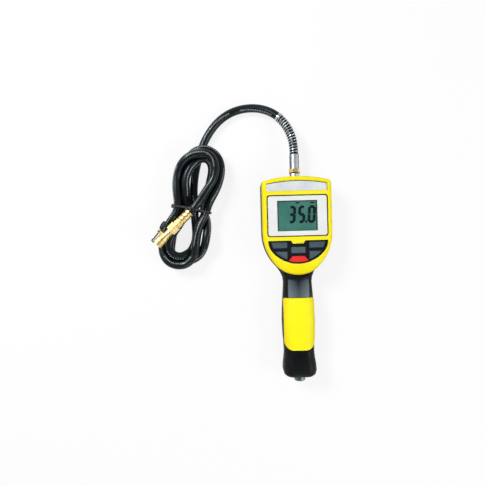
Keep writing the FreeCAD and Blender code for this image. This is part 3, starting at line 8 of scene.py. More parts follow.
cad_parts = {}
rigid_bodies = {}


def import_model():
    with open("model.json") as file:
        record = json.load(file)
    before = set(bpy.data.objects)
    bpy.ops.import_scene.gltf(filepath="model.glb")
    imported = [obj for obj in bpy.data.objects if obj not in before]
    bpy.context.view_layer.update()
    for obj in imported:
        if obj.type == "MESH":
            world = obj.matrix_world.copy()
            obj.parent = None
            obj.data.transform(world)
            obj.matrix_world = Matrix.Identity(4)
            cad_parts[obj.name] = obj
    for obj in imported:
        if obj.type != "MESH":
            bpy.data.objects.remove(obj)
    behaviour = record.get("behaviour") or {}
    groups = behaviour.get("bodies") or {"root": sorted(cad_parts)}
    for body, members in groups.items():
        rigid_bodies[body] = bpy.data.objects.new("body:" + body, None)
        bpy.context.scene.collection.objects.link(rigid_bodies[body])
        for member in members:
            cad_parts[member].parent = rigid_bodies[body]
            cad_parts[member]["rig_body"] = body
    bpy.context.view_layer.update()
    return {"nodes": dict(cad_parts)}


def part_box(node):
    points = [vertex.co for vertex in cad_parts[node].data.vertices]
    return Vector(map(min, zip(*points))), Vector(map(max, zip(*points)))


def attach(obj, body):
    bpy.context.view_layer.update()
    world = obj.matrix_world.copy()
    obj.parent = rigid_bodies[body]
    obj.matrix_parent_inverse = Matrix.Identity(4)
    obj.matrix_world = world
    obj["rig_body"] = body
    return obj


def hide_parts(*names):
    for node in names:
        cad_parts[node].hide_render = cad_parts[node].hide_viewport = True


# Tyre inflator lying on its back, hose end up, seen from straight above.
# Lengths are metres. The camera, the hose's route and all that goes through point() are millimetres.

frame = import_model()
nodes = frame["nodes"]
HANDSET = "handset"
MM = 0.001

# Handset: its display window, the flat of its neck and its label
WINDOW = (0.0, 0.0842)
WINDOW_SIZE = (0.0564, 0.0429)
LCD_LEVEL = 0.0415
NECK_FLAT_HALF_WIDTH = 0.0150
NECK_FLAT_ENDS = (-0.0323, -0.0060)
NECK_CROWN = (0.0342, 0.0350)
LABEL_ARC_CENTRE = -0.08585
LABEL_ARC = (0.21845, 0.21875)
LABEL_SIDE = (0.0416, 0.0419)

# Hose and the line of print along it
HOSE = 0.012
SHORT_STEP = 0.0005
HOSE_LINE = 0.27
LINE_DRIFT = 0.11
LINE_TWIST = 21.0
DASH_PITCH = 0.0029
DASHES_IN_GROUP = 24


def point(x, y, z):
    """Point given in millimetres."""
    return Vector((x * MM, y * MM, z * MM))


# Camera

CAMERA_CENTRE = (-78.2, 48.4)
CAMERA_DISTANCE = 620.0
CAMERA_UP = (0.02583, 0.99967, 0.0)
VIEW_WIDTH = 731.9


def place_camera():
    """Camera straight above the object, turned and set so that it frames the photograph's view."""
    data = bpy.data.cameras.new("camera")
    data.sensor_width = 36.0
    data.angle = 2 * math.atan(VIEW_WIDTH / 2 / CAMERA_DISTANCE)
    data.clip_start = 0.01
    camera = bpy.data.objects.new("camera", data)
    bpy.context.scene.collection.objects.link(camera)
    up = Vector(CAMERA_UP).normalized()
    right = Vector((up.y, -up.x, 0.0))
    back = Vector((0.0, 0.0, 1.0))
    turn = Matrix((right, up, back)).transposed().to_4x4()
    camera.matrix_world = Matrix.Translation(point(*CAMERA_CENTRE, CAMERA_DISTANCE)) @ turn
    bpy.context.scene.camera = camera


# Finishes


class Finish:
    """One material, built from a surface shader and the patterns that feed it."""

    def __init__(self, name):
        self.material = bpy.data.materials.new(name)
        self.material.use_nodes = True
        self.tree = self.material.node_tree
        self.shader = self.tree.nodes["Principled BSDF"]
        self.place = self.tree.nodes.new("ShaderNodeTexCoord").outputs["Object"]
        self.last_normal = None

    def node(self, kind, **values):
        """Shader node with these settings."""
        made = self.tree.nodes.new(kind)
        for key, value in values.items():
            setattr(made, key, value)
        return made

    def link(self, source, target):
        """Join an output to an input."""
        self.tree.links.new(source, target)

    def set(self, **values):
        """Give the surface shader fixed values, named as its inputs are."""
        for key, value in values.items():
            self.shader.inputs[key.replace("_", " ")].default_value = value
        return self

    def noise(self, scale, detail=3.0, stretch=None):
        """Cloudy pattern in the object's own place, stretched where that is asked for."""
        source = self.place
        if stretch:
            mapping = self.node("ShaderNodeMapping")
            mapping.inputs["Scale"].default_value = stretch
            self.link(source, mapping.inputs["Vector"])
            source = mapping.outputs["Vector"]
        made = self.node("ShaderNodeTexNoise")
        made.inputs["Scale"].default_value = scale
        made.inputs["Detail"].default_value = detail
        made.inputs["Roughness"].default_value = 0.55
        self.link(source, made.inputs["Vector"])
        return made.outputs["Fac"]

    def spread(self, value, low, high, from_low=0.3, from_high=0.7):
        """Value mapped to a range."""
        made = self.node("ShaderNodeMapRange")
        made.inputs["From Min"].default_value = from_low
        made.inputs["From Max"].default_value = from_high
        made.inputs["To Min"].default_value = low
        made.inputs["To Max"].default_value = high
        self.link(value, made.inputs["Value"])
        return made.outputs["Result"]

    def tones(self, value, first, second, low=0.35, high=0.65):
        """Colour that runs from the first tone to the second as the value rises."""
        ramp = self.node("ShaderNodeValToRGB")
        ramp.color_ramp.elements[0].position = low
        ramp.color_ramp.elements[0].color = (*first, 1)
        ramp.color_ramp.elements[1].position = high
        ramp.color_ramp.elements[1].color = (*second, 1)
        self.link(value, ramp.inputs["Fac"])
        return ramp.outputs["Color"]

    def over(self, colour, share, top):
        """The top colour laid over another by its share."""
        mix = self.node("ShaderNodeMix", data_type="RGBA")
        self.link(share, mix.inputs["Factor"])
        self.link(colour, mix.inputs["A"])
        if isinstance(top, tuple):
            mix.inputs["B"].default_value = (*top, 1)
        else:
            self.link(top, mix.inputs["B"])
        return mix.outputs["Result"]

    def colour(self, source):
        """Base colour from this output."""
        self.link(source, self.shader.inputs["Base Color"])
        return self

    def roughness(self, source):
        """Roughness from this output."""
        self.link(source, self.shader.inputs["Roughness"])
        return self

    def bump(self, height, depth, strength):
        """Relief from this output, on top of any relief given before."""
        made = self.node("ShaderNodeBump")
        made.inputs["Strength"].default_value = strength
        made.inputs["Distance"].default_value = depth
        self.link(height, made.inputs["Height"])
        if self.last_normal:
            self.link(self.last_normal, made.inputs["Normal"])
        self.last_normal = made.outputs["Normal"]
        self.link(self.last_normal, self.shader.inputs["Normal"])
        return self

    def parts(self):
        """The three coordinates of the object's own place."""
        split = self.node("ShaderNodeSeparateXYZ")
        self.link(self.place, split.inputs["Vector"])
        return split.outputs["X"], split.outputs["Y"], split.outputs["Z"]

    def count(self, operation, first, second=None):
        """One sum of two values, either of which may be a number."""
        made = self.node("ShaderNodeMath", operation=operation)
        for socket, value in zip(made.inputs, (first, second)):
            if value is None:
                continue
            if isinstance(value, (int, float)):
                socket.default_value = value
            else:
                self.link(value, socket)
        return made.outputs[0]

    def within(self, value, low, high, soft):
        """One between two limits, and nought beyond them."""
        rise = self.spread(value, 0.0, 1.0, low - soft, low + soft)
        fall = self.spread(value, 1.0, 0.0, high - soft, high + soft)
        return self.count("MULTIPLY", rise, fall)

    def edges(self):
        """High along pointed outer edges, low elsewhere."""
        pointiness = self.node("ShaderNodeNewGeometry").outputs["Pointiness"]
        return self.spread(pointiness, 0.0, 1.0, 0.5, 0.58)


def moulded(name, dark, light, rough, grain=2600.0, depth=0.00006, wear=None, shine=0.5):
    """Moulded plastic: faint clouds of tone, a fine grain and rubbed edges."""
    finish = Finish(name)
    finish.set(Specular_IOR_Level=shine)
    clouds = finish.noise(38.0, 4.0)
    colour = finish.tones(clouds, dark, light)
    if wear:
        colour = finish.over(colour, finish.spread(finish.edges(), 0.0, 0.35, 0.0, 1.0), wear)
    finish.colour(colour)
    finish.roughness(finish.spread(finish.noise(120.0, 5.0), rough - 0.07, rough + 0.07))
    finish.bump(finish.noise(grain, 2.0), depth, 0.25)
    return finish.material


def metal(name, dark, light, rough, stretch, scale=300.0, depth=0.00005, sides=None):
    """Machined metal: fine tool marks, faint stains, and, where a tone for them is given, painted shade
    that darkens the sides away from the axis.
    """
    finish = Finish(name)
    finish.set(Metallic=1.0)
    stains = finish.noise(90.0, 5.0)
    colour = finish.tones(stains, dark, light)
    if sides:
        # Painted shade on the sides, growing with distance from the axis.
        tone, low, high = sides
        x, y, z = finish.parts()
        aside = finish.count("ABSOLUTE", x)
        colour = finish.over(colour, finish.spread(aside, 0.0, 0.92, low, high), tone)
    finish.colour(colour)
    marks = finish.noise(scale, 2.0, stretch=stretch)
    finish.roughness(finish.spread(marks, rough - 0.08, rough + 0.1))
    finish.bump(marks, depth, 0.25)
    return finish.material


def black_moulding():
    """Black moulded plastic with a fine grain, and a painted reflection: a grey sheen on the flat crown
    of the neck, lighter towards its sides and towards the grip.
    """
    finish = Finish("black moulding")
    finish.set(Specular_IOR_Level=0.10)
    base = finish.tones(finish.noise(38.0, 4.0), (0.0016, 0.0026, 0.0028), (0.0036, 0.0052, 0.0056))
    base = finish.over(base, finish.spread(finish.edges(), 0.0, 0.3, 0.0, 1.0), (0.035, 0.037, 0.040))
    # Painted reflection on the neck's flat crown: a grey sheen, lighter towards its sides and towards the
    # grip.
    x, y, z = finish.parts()
    across = finish.within(x, -NECK_FLAT_HALF_WIDTH, NECK_FLAT_HALF_WIDTH, 0.0007)
    along = finish.within(y, *NECK_FLAT_ENDS, 0.0010)
    crown = finish.spread(z, 0.0, 1.0, *NECK_CROWN)
    flat = finish.count("MULTIPLY", finish.count("MULTIPLY", across, along), crown)
    aside = finish.count("MULTIPLY", finish.count("ABSOLUTE", x), 1 / NECK_FLAT_HALF_WIDTH)
    down = finish.spread(y, 1.0, 0.0, *NECK_FLAT_ENDS)
    level = finish.count("ADD", finish.count("MULTIPLY", aside, 0.5), finish.count("MULTIPLY", down, 0.5))
    shine = finish.tones(level, (0.012, 0.020, 0.026), (0.180, 0.222, 0.245), 0.1, 0.95)
    finish.colour(finish.over(base, flat, shine))
    finish.roughness(finish.spread(finish.noise(120.0, 5.0), 0.34, 0.46))
    finish.bump(finish.noise(2600.0, 2.0), 0.00006, 0.25)
    return finish.material


def yellow_moulding(name, first, second, grain, depth, rough, low, high):
    """Bright yellow plastic with painted shade and light: its tone deepens to orange from the face down
    its sides, and a painted highlight makes its pointed edges paler.
    """
    finish = Finish(name)
    finish.set(Specular_IOR_Level=0.14)
    face = finish.tones(finish.noise(38.0, 4.0), first, second)
    # Painted shade: the orange tone laid on the sides, below the face.
    side = finish.tones(finish.noise(38.0, 4.0), (0.88, 0.56, 0.002), (0.92, 0.62, 0.003))
    x, y, z = finish.parts()
    colour = finish.over(face, finish.spread(z, 0.85, 0.0, low, high), side)
    # Painted highlight: a paler yellow along the pointed outer edges.
    colour = finish.over(colour, finish.spread(finish.edges(), 0.0, 0.3, 0.0, 1.0), (0.96, 0.88, 0.10))
    finish.colour(colour)
    finish.roughness(finish.spread(finish.noise(120.0, 5.0), rough - 0.06, rough + 0.06))
    finish.bump(finish.noise(grain, 2.0), depth, 0.25)
    return finish.material


def label_film():
    """Pale printed film without words, with a painted shadow: a dark line along its curved edge and its
    right side.
    """
    finish = Finish("pale film")
    tone = finish.tones(finish.noise(55.0, 3.0), (0.62, 0.66, 0.70), (0.74, 0.77, 0.79))
    x, y, z = finish.parts()
    # Painted shadow of the recess's edge along the film's curved edge and its right side.
    drop = finish.count("SUBTRACT", y, LABEL_ARC_CENTRE)
    squares = [finish.count("MULTIPLY", part, part) for part in (x, drop)]
    reach = finish.count("SQRT", finish.count("ADD", *squares))
    line = finish.spread(reach, 0.0, 1.0, *LABEL_ARC)
    line = finish.count("MAXIMUM", line, finish.spread(x, 0.0, 1.0, *LABEL_SIDE))
    finish.colour(finish.over(tone, line, (0.10, 0.09, 0.03)))
    finish.roughness(finish.spread(finish.noise(140.0, 4.0), 0.34, 0.46))
    finish.bump(finish.noise(3000.0, 1.0), 0.00002, 0.2)
    return finish.material


def hose_rubber():
    """Blue-black rubber with a line of short pale dashes along it."""
    finish = Finish("hose rubber")
    finish.set(Specular_IOR_Level=0.34, Specular_Tint=(0.78, 0.92, 1.0, 1.0))
    uv = finish.node("ShaderNodeUVMap", uv_map="along").outputs["UV"]
    split = finish.node("ShaderNodeSeparateXYZ")
    finish.link(uv, split.inputs["Vector"])
    run, turn = split.outputs["X"], split.outputs["Y"]
    base = finish.tones(finish.noise(60.0, 4.0), (0.0020, 0.0036, 0.0046), (0.0060, 0.0085, 0.0100))
    twist = finish.count("SINE", finish.count("MULTIPLY", run, LINE_TWIST))
    seam = finish.count("ADD", HOSE_LINE, finish.count("MULTIPLY", twist, LINE_DRIFT))
    away = finish.count("ABSOLUTE", finish.count("SUBTRACT", turn, seam))
    line = finish.spread(away, 1.0, 0.0, 0.020, 0.030)
    place = finish.count("FRACT", finish.count("DIVIDE", run, DASH_PITCH))
    dashes = finish.within(place, 0.16, 0.66, 0.05)
    group = finish.count("FRACT", finish.count("DIVIDE", run, DASH_PITCH * DASHES_IN_GROUP))
    groups = finish.within(group, 0.04, 0.80, 0.004)
    faded = finish.spread(finish.noise(900.0, 2.0), 0.35, 1.0)
    dashed = finish.count("MULTIPLY", line, dashes)
    worn = finish.count("MULTIPLY", groups, faded)
    share = finish.count("MULTIPLY", dashed, worn)
    finish.colour(finish.over(base, share, (0.42, 0.46, 0.48)))
    finish.roughness(finish.spread(finish.noise(200.0, 4.0), 0.26, 0.36))
    finish.bump(finish.noise(700.0, 3.0), 0.00008, 0.25)
    return finish.material


def display_film():
    """Reflective display film: sea green, dark along its left, right and upper rims and a little along
    its lower one, partly the display's own dark border and partly painted shadow of the window's edges.
    """
    finish = Finish("display film")
    colour = finish.tones(finish.noise(45.0, 2.0), (0.036, 0.165, 0.130), (0.050, 0.200, 0.158))
    x, y, z = finish.parts()
    half_width, half_height = WINDOW_SIZE[0] / 2, WINDOW_SIZE[1] / 2
    upper, lower = WINDOW[1] + half_height, WINDOW[1] - half_height
    # Dark rims: partly the display's own border, partly painted shadow of the window's edges.
    side = finish.spread(finish.count("ABSOLUTE", x), 0.0, 1.0, half_width - 0.0023, half_width - 0.0011)
    top = finish.spread(y, 0.0, 1.0, upper - 0.0024, upper - 0.0008)
    low = finish.spread(y, 0.6, 0.0, lower + 0.0004, lower + 0.0013)
    border_and_shadow = finish.count("MAXIMUM", finish.count("MAXIMUM", side, top), low)
    finish.set(Specular_IOR_Level=0.15)
    finish.colour(finish.over(colour, finish.count("MULTIPLY", border_and_shadow, 0.85), (0.010, 0.030, 0.034)))
    finish.roughness(finish.spread(finish.noise(400.0, 2.0), 0.45, 0.6))
    finish.bump(finish.noise(3000.0, 1.0), 0.00002, 0.2)
    return finish.material


def clear_window():
    """Clear pane with a trace of tint."""
    finish = Finish("clear window")
    finish.colour(finish.tones(finish.noise(30.0, 2.0), (0.16, 0.20, 0.19), (0.22, 0.26, 0.25)))
    finish.set(Alpha=0.02)
    finish.roughness(finish.spread(finish.noise(150.0, 4.0), 0.05, 0.12))
    finish.bump(finish.noise(900.0, 2.0), 0.00001, 0.1)
    return finish.material


BLACK = black_moulding()
YELLOW = yellow_moulding("yellow moulding", (0.92, 0.79, 0.001), (0.95, 0.84, 0.002), grain=1800.0,
                         depth=0.00004, rough=0.34, low=0.0385, high=0.0435)
GRIP = yellow_moulding("yellow grip", (0.95, 0.88, 0.001), (0.98, 0.92, 0.003), grain=1500.0,
                       depth=0.00009, rough=0.48, low=0.0300, high=0.0390)
PANEL_WHITE = moulded("white display surround", (0.78, 0.79, 0.79), (0.84, 0.85, 0.85), 0.35,
                      grain=3000.0, depth=0.00002)
LABEL = label_film()
GASKET = moulded("black gasket", (0.002, 0.002, 0.003), (0.004, 0.005, 0.006), 0.5, shine=0.1)
KEYPAD = moulded("keypad film", (0.0030, 0.0040, 0.0065), (0.0060, 0.0075, 0.0110), 0.42,
                 grain=2200.0, shine=0.2)
KEYS = moulded("slate keys", (0.044, 0.076, 0.094), (0.060, 0.100, 0.120), 0.45,
               grain=1600.0, depth=0.00008, wear=(0.12, 0.16, 0.18), shine=0.2)
RED = moulded("red key", (0.76, 0.015, 0.018), (0.84, 0.026, 0.030), 0.42,
              grain=1600.0, depth=0.00008, wear=(0.92, 0.12, 0.10), shine=0.25)
SEGMENTS = moulded("display segments", (0.001, 0.003, 0.008), (0.002, 0.005, 0.012), 0.6, shine=0.05)
BOARD = moulded("board laminate", (0.012, 0.10, 0.035), (0.02, 0.14, 0.05), 0.35)
DARK_PART = moulded("dark inner part", (0.015, 0.015, 0.016), (0.03, 0.03, 0.032), 0.45)
BLUE_TUBE = moulded("air tube", (0.02, 0.05, 0.16), (0.03, 0.07, 0.20), 0.35)
SOFT = moulded("soft seal", (0.012, 0.012, 0.012), (0.02, 0.02, 0.02), 0.6)
STRAP = moulded("tie strap", (0.003, 0.004, 0.005), (0.008, 0.009, 0.010), 0.38)
ROUND = (1.0, 1.0, 1.0)
ALONG = (1.0, 6.0, 1.0)
BRASS = metal("brass", (0.80, 0.58, 0.21), (0.92, 0.74, 0.36), 0.36, ROUND, 900.0, 0.00002)
PLATED = metal("plated steel", (0.58, 0.62, 0.66), (0.76, 0.79, 0.82), 0.30, ALONG, 500.0, 0.00002)
# Sleeve and collar with painted shade that darkens their sides.
SLEEVE = metal("sleeve with painted side shade", (0.60, 0.64, 0.70), (0.76, 0.79, 0.84), 0.40, ALONG, 500.0, 0.00002,
               sides=((0.020, 0.055, 0.060), 0.0036, 0.0062))
COLLAR = metal("collar with painted side shade", (0.74, 0.76, 0.78), (0.86, 0.88, 0.89), 0.42, ROUND, 500.0, 0.00002,
               sides=((0.030, 0.050, 0.050), 0.0050, 0.0066))
BRIGHT = metal("bright wire", (0.66, 0.70, 0.74), (0.84, 0.87, 0.90), 0.34, ROUND, 900.0, 0.00001)
DARK_STEEL = metal("dark inlet steel", (0.10, 0.15, 0.13), (0.19, 0.25, 0.22), 0.32,
                   (1.0, 8.0, 1.0), 500.0)
CLIP_STEEL = metal("dark clip steel", (0.065, 0.067, 0.072), (0.14, 0.143, 0.15), 0.30, ROUND, 700.0)
ALLOY = metal("machined alloy", (0.68, 0.70, 0.72), (0.80, 0.82, 0.83), 0.30, ROUND, 500.0)
HOSE_RUBBER = hose_rubber()
FILM = display_film()
WINDOW_CLEAR = clear_window()


# Pieces carried over from the frame, and pieces drawn face by face

SAME_POINT = 2e-6
NO_LENGTH = 1e-6
FLAT_WITHIN = math.radians(0.8)


def refined(node, material, angle=32.0, bevel=0.0, segments=2):
    """Merged copy of a CAD node with smooth curved faces and softly rounded edges."""
    source = nodes[node]
    mesh = source.data.copy()
    body = bmesh.new()
    body.from_mesh(mesh)
    bmesh.ops.remove_doubles(body, verts=body.verts, dist=SAME_POINT)
    bmesh.ops.dissolve_degenerate(body, dist=NO_LENGTH, edges=body.edges)
    if bevel:
        bmesh.ops.dissolve_limit(body, angle_limit=FLAT_WITHIN, verts=body.verts, edges=body.edges)
    body.to_mesh(mesh)
    body.free()
    mesh.name = node + "_skin"
    mesh.materials.clear()
    mesh.materials.append(material)
    piece = bpy.data.objects.new(node + "_skin", mesh)
    bpy.context.scene.collection.objects.link(piece)
    mesh.shade_smooth()
    mesh.set_sharp_from_angle(angle=math.radians(angle))
    if bevel:
        rounded(piece, bevel, segments, angle)
    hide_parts(node)
    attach(piece, source["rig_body"])
    return piece


def rounded(piece, width, segments=2, angle=30.0):
    """Soft round on a piece's sharp edges."""
    change = piece.modifiers.new("rounded edges", "BEVEL")
    change.width = width
    change.segments = segments
    change.limit_method = "ANGLE"
    change.angle_limit = math.radians(angle)
    change.harden_normals = True


def dress(names, material):
    """Give CAD nodes that are hardly seen their material as they are."""
    for name in names:
        data = nodes[name].data
        data.materials.clear()
        data.materials.append(material)


def bridge(bm, ring, after):
    """Faces from one ring of points to the next one."""
    for i in range(len(ring)):
        j = (i + 1) % len(ring)
        bm.faces.new((ring[i], ring[j], after[j], after[i]))


def piece_from(name, bm, material, smooth=True, angle=35.0):
    """Piece of the handset, made of the faces drawn so far."""
    mesh = bpy.data.meshes.new(name)
    bmesh.ops.recalc_face_normals(bm, faces=bm.faces)
    bm.to_mesh(mesh)
    bm.free()
    mesh.materials.append(material)
    if smooth:
        mesh.shade_smooth()
        mesh.set_sharp_from_angle(angle=math.radians(angle))
    piece = bpy.data.objects.new(name, mesh)
    bpy.context.scene.collection.objects.link(piece)
    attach(piece, HANDSET)
    return piece


# Hose

LEAD_ROUTE = [
    (0, 174.2, 22), (0, 188.5, 22), (-4, 206, 20.8), (-13.5, 224, 17.8), (-28.5, 238.8, 13.6),
    (-48, 247.3, 9.2), (-70.5, 248.6, 6.4), (-92.5, 242.4, 6.0), (-111, 229.3, 6.1), (-125, 211.8, 6.0),
    (-135.2, 192, 6.1), (-142.3, 170.5, 6.0), (-147.2, 148.5, 6.1), (-149.3, 126.5, 6.0),
    (-148.6, 112, 6.4), (-148.4, 100.9, 7.6),
]
FIRST_STRAND = (-146.2, 56.0, 6.2)
LAST_STRAND = [(-118.2, 139.7, 26.5), (-126.0, 128.3, 27.4), (-133.8, 115.6, 30.6)]
CHUCK_FROM = (-151.7, 93.9, 34.2)
CHUCK_TOWARDS = Vector((-0.730, -0.683, 0)).normalized()
HANK_CENTRE = (-151.3, 101.1)
HANK_HALF_LENGTH = 71.8
HANK_LEAN = 16.9
HANK_HALF_WIDTH = 26.3
HANK_WAIST = 8.7
HANK_PINCH = 6.3
HANK_TWIST = 3.9
STRAND_SPACING = 13.6
STRAND_ANGLES = [150, 255, 160, 115, 185, 140, 215, 215]
STRAND_LIFTS = [1.6, 4.5, 0.0, 1.5, 1.6, 4.5, 13.0, 8.0]
EIGHTHS = 8
HANK_TURNS = 3
STEPS_IN_EIGHTH = 6
HOSE_SIDES = 24


def loop_point(angle):
    """Middle of the bundle of three strands: a leaning loop with a waist."""
    c, s = math.cos(angle), math.sin(angle)
    x = HANK_CENTRE[0] + HANK_LEAN * c + HANK_HALF_WIDTH * s + HANK_WAIST * math.sin(3 * angle)
    y = HANK_CENTRE[1] + HANK_HALF_LENGTH * c + HANK_PINCH * math.cos(3 * angle) + HANK_TWIST * s
    return Vector((x, y, 0))


def stepped(values, k, rise):
    """Smooth step between the values at the whole eighths, which rise by a fixed amount each turn."""
    i = math.floor(k)
    a, b = (values[j % EIGHTHS] + rise * (j // EIGHTHS) for j in (i, i + 1))
    t = k - i
    return a + (b - a) * t * t * (3 - 2 * t)


def strand_point(k):
    """Place of the strand k eighths of a turn after the waist."""
    angle = math.radians(90 + 360 / EIGHTHS * k)
    ahead = (loop_point(angle + 1e-4) - loop_point(angle - 1e-4)).normalized()
    outward = Vector((-ahead.y, ahead.x, 0))
    bundle = STRAND_SPACING / math.sqrt(3)
    apart = 360 / HANK_TURNS
    place = stepped(STRAND_ANGLES, k, apart)
    off_lowest = (place - 270 + apart / 2) % apart - apart / 2
    height = bundle * (math.cos(math.radians(off_lowest)) + math.sin(math.radians(place)))
    spot = loop_point(angle) + outward * (bundle * math.cos(math.radians(place)))
    return spot + Vector((0, 0, HOSE / MM / 2 + stepped(STRAND_LIFTS, k, 0) + height))


def hose_points():
    """Route of the whole hose: its free curve, the hank, and straight on into the chuck's ferrule."""
    points = [Vector(p) for p in LEAD_ROUTE]
    along = (points[-1] - points[-2]).normalized()
    points.append(points[-1] + along * HOSE / MM)
    points.append(Vector(FIRST_STRAND))
    first = 3 * STEPS_IN_EIGHTH // 2
    last = (EIGHTHS * HANK_TURNS - 1) * STEPS_IN_EIGHTH
    points += [strand_point(step / STEPS_IN_EIGHTH) for step in range(first, last + 1)]
    points += [Vector(p) for p in LAST_STRAND]
    points.append(Vector(CHUCK_FROM) - CHUCK_TOWARDS * HOSE / MM)
    points.append(Vector(CHUCK_FROM))
    return [p * MM for p in points]


def hose_path():
    """The smooth line of the hose, as a spline through its route."""
    curve = bpy.data.curves.new("hose_path", "CURVE")
    curve.dimensions = "3D"
    curve.resolution_u = 4
    spline = curve.splines.new("NURBS")
    points = hose_points()
    spline.points.add(len(points) - 1)
    for spot, p in zip(spline.points, points):
        spot.co = (*p, 1.0)
    spline.order_u = 3
    spline.use_endpoint_u = True
    path = bpy.data.objects.new("hose_path", curve)
    bpy.context.scene.collection.objects.link(path)
    return path


def straight_path(name, start, end):
    """A straight line from one point to the other, for pieces that are set along it."""
    curve = bpy.data.curves.new(name, "CURVE")
    curve.dimensions = "3D"
    spline = curve.splines.new("POLY")
    spline.points.add(1)
    for spot, p in zip(spline.points, (start, end)):
        spot.co = (*p, 1.0)
    path = bpy.data.objects.new(name, curve)
    bpy.context.scene.collection.objects.link(path)
    return path


def line_of(path):
    """Points of a path, as the spline gives them."""
    bpy.context.view_layer.update()
    graph = bpy.context.evaluated_depsgraph_get()
    mesh = bpy.data.meshes.new_from_object(path.evaluated_get(graph))
    line = []
    for v in mesh.vertices:
        if not line or (v.co - line[-1]).length > SHORT_STEP:
            line.append(v.co.copy())
    bpy.data.meshes.remove(mesh)
    return line


def run_lengths(line):
    """Length along the line up to each of its points."""
    runs = [0.0]
    for a, b in zip(line, line[1:]):
        runs.append(runs[-1] + (b - a).length)
    return runs


def direction(line, i):
    """Unit vector along the line at one of its points."""
    return (line[min(i + 1, len(line) - 1)] - line[max(i - 1, 0)]).normalized()


def tube_along(name, line, runs, radius, sides, material):
    """Round tube along a line, its ends closed, with a map of (length along, share round)."""
    bm = bmesh.new()
    uv = bm.loops.layers.uv.new("along")
    rings = []
    for i, middle in enumerate(line):
        ahead = direction(line, i)
        across = ahead.cross(Vector((0, 0, 1))).normalized()
        up = across.cross(ahead).normalized()
        ring = []
        for j in range(sides):
            a = 2 * math.pi * j / sides
            out = across * (radius * math.cos(a)) + up * (radius * math.sin(a))
            ring.append(bm.verts.new(middle + out))
        rings.append(ring)
    for i, (ring, after) in enumerate(zip(rings, rings[1:])):
        for j in range(sides):
            k = (j + 1) % sides
            face = bm.faces.new((ring[j], ring[k], after[k], after[j]))
            places = [(runs[i], j / sides), (runs[i], (j + 1) / sides),
                      (runs[i + 1], (j + 1) / sides), (runs[i + 1], j / sides)]
            for loop, place in zip(face.loops, places):
                loop[uv].uv = place
    bm.faces.new(rings[0][::-1])
    bm.faces.new(rings[-1])
    return piece_from(name, bm, material)


# Recipes of geometry nodes

SHARP_FROM = math.radians(40.0)


class Recipe:
    """Tree of geometry nodes with named inputs, for pieces that repeat or follow a path."""

    def __init__(self, name, **inputs):
        self.tree = bpy.data.node_groups.new(name, "GeometryNodeTree")
        face = self.tree.interface
        face.new_socket("Shape", in_out="OUTPUT", socket_type="NodeSocketGeometry")
        self.sockets = {}
        for label, kind in inputs.items():
            self.sockets[label] = face.new_socket(label, in_out="INPUT", socket_type="NodeSocket" + kind)
        self.sockets["Finish"] = face.new_socket(
            "Finish", in_out="INPUT", socket_type="NodeSocketMaterial")
        self.entry = self.tree.nodes.new("NodeGroupInput")

    def size(self, label):
        """Value that is given under this label."""
        return self.entry.outputs[label]

    def add(self, kind, inputs=None, **settings):
        """Node with its settings, each of its inputs joined to a socket or set to a value."""
        node = self.tree.nodes.new(kind)
        for key, value in settings.items():
            setattr(node, key, value)
        for key, value in (inputs or {}).items():
            if isinstance(value, bpy.types.NodeSocket):
                self.tree.links.new(value, node.inputs[key])
            else:
                node.inputs[key].default_value = value
        return node

    def count(self, operation, first, second=0.0):
        """Number that a sum on one or two numbers gives."""
        return self.add("ShaderNodeMath", {0: first, 1: second}, operation=operation).outputs[0]

    def vector(self, operation, first, second):
        """Vector that a sum on two vectors gives, or on a vector and its scale."""
        key = "Scale" if operation == "SCALE" else 1
        return self.add("ShaderNodeVectorMath", {0: first, key: second}, operation=operation).outputs[0]

    def shape_of(self, label):
        """Shape of the object that is given under this label."""
        info = self.add(
            "GeometryNodeObjectInfo", {"Object": self.size(label)}, transform_space="ORIGINAL")
        return info.outputs["Geometry"]

    def circle(self, sides, label):
        """Circle whose radius is given under this label."""
        around = self.add("GeometryNodeCurvePrimitiveCircle", {
            "Resolution": sides, "Radius": self.size(label)})
        return around.outputs["Curve"]

    def stations(self, total, start, length):
        """Row of points set along the path, with the share of each, its place and its directions."""
        line = self.add("GeometryNodeCurvePrimitiveLine").outputs["Curve"]
        row = self.add("GeometryNodeResampleCurve", {"Curve": line, "Count": total}, mode="COUNT")
        index = self.add("GeometryNodeInputIndex").outputs["Index"]
        share = self.count("DIVIDE", index, self.count("SUBTRACT", total, 1.0))
        run = self.count("ADD", start, self.count("MULTIPLY", share, length))
        spot = self.add(
            "GeometryNodeSampleCurve", {"Curves": self.shape_of("Path"), "Length": run}, mode="LENGTH")
        return row.outputs["Curve"], share, spot.outputs

    def end(self, shape):
        """The recipe itself, its output joined to this shape."""
        smooth = self.add("GeometryNodeSetShadeSmooth", {"Geometry": shape}).outputs["Geometry"]
        real = self.add("GeometryNodeRealizeInstances", {"Geometry": smooth}).outputs["Geometry"]
        dressed = self.add("GeometryNodeSetMaterial", {"Geometry": real, "Material": self.size("Finish")})
        out = self.tree.nodes.new("NodeGroupOutput")
        self.tree.links.new(dressed.outputs["Geometry"], out.inputs["Shape"])
        return self

    def make(self, name, finish, **sizes):
        """Plain mesh piece that the tree gives for these sizes."""
        holder = bpy.data.objects.new(name + "_holder", bpy.data.meshes.new(name + "_holder"))
        bpy.context.scene.collection.objects.link(holder)
        change = holder.modifiers.new(name, "NODES")
        change.node_group = self.tree
        for label, value in dict(sizes, Finish=finish).items():
            change[self.sockets[label].identifier] = value
        bpy.context.view_layer.update()
        graph = bpy.context.evaluated_depsgraph_get()
        mesh = bpy.data.meshes.new_from_object(holder.evaluated_get(graph))
        mesh.name = name
        holder.modifiers.remove(change)
        bpy.data.objects.remove(holder)
        mesh.set_sharp_from_angle(angle=SHARP_FROM)
        piece = bpy.data.objects.new(name, mesh)
        bpy.context.scene.collection.objects.link(piece)
        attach(piece, HANDSET)
        return piece


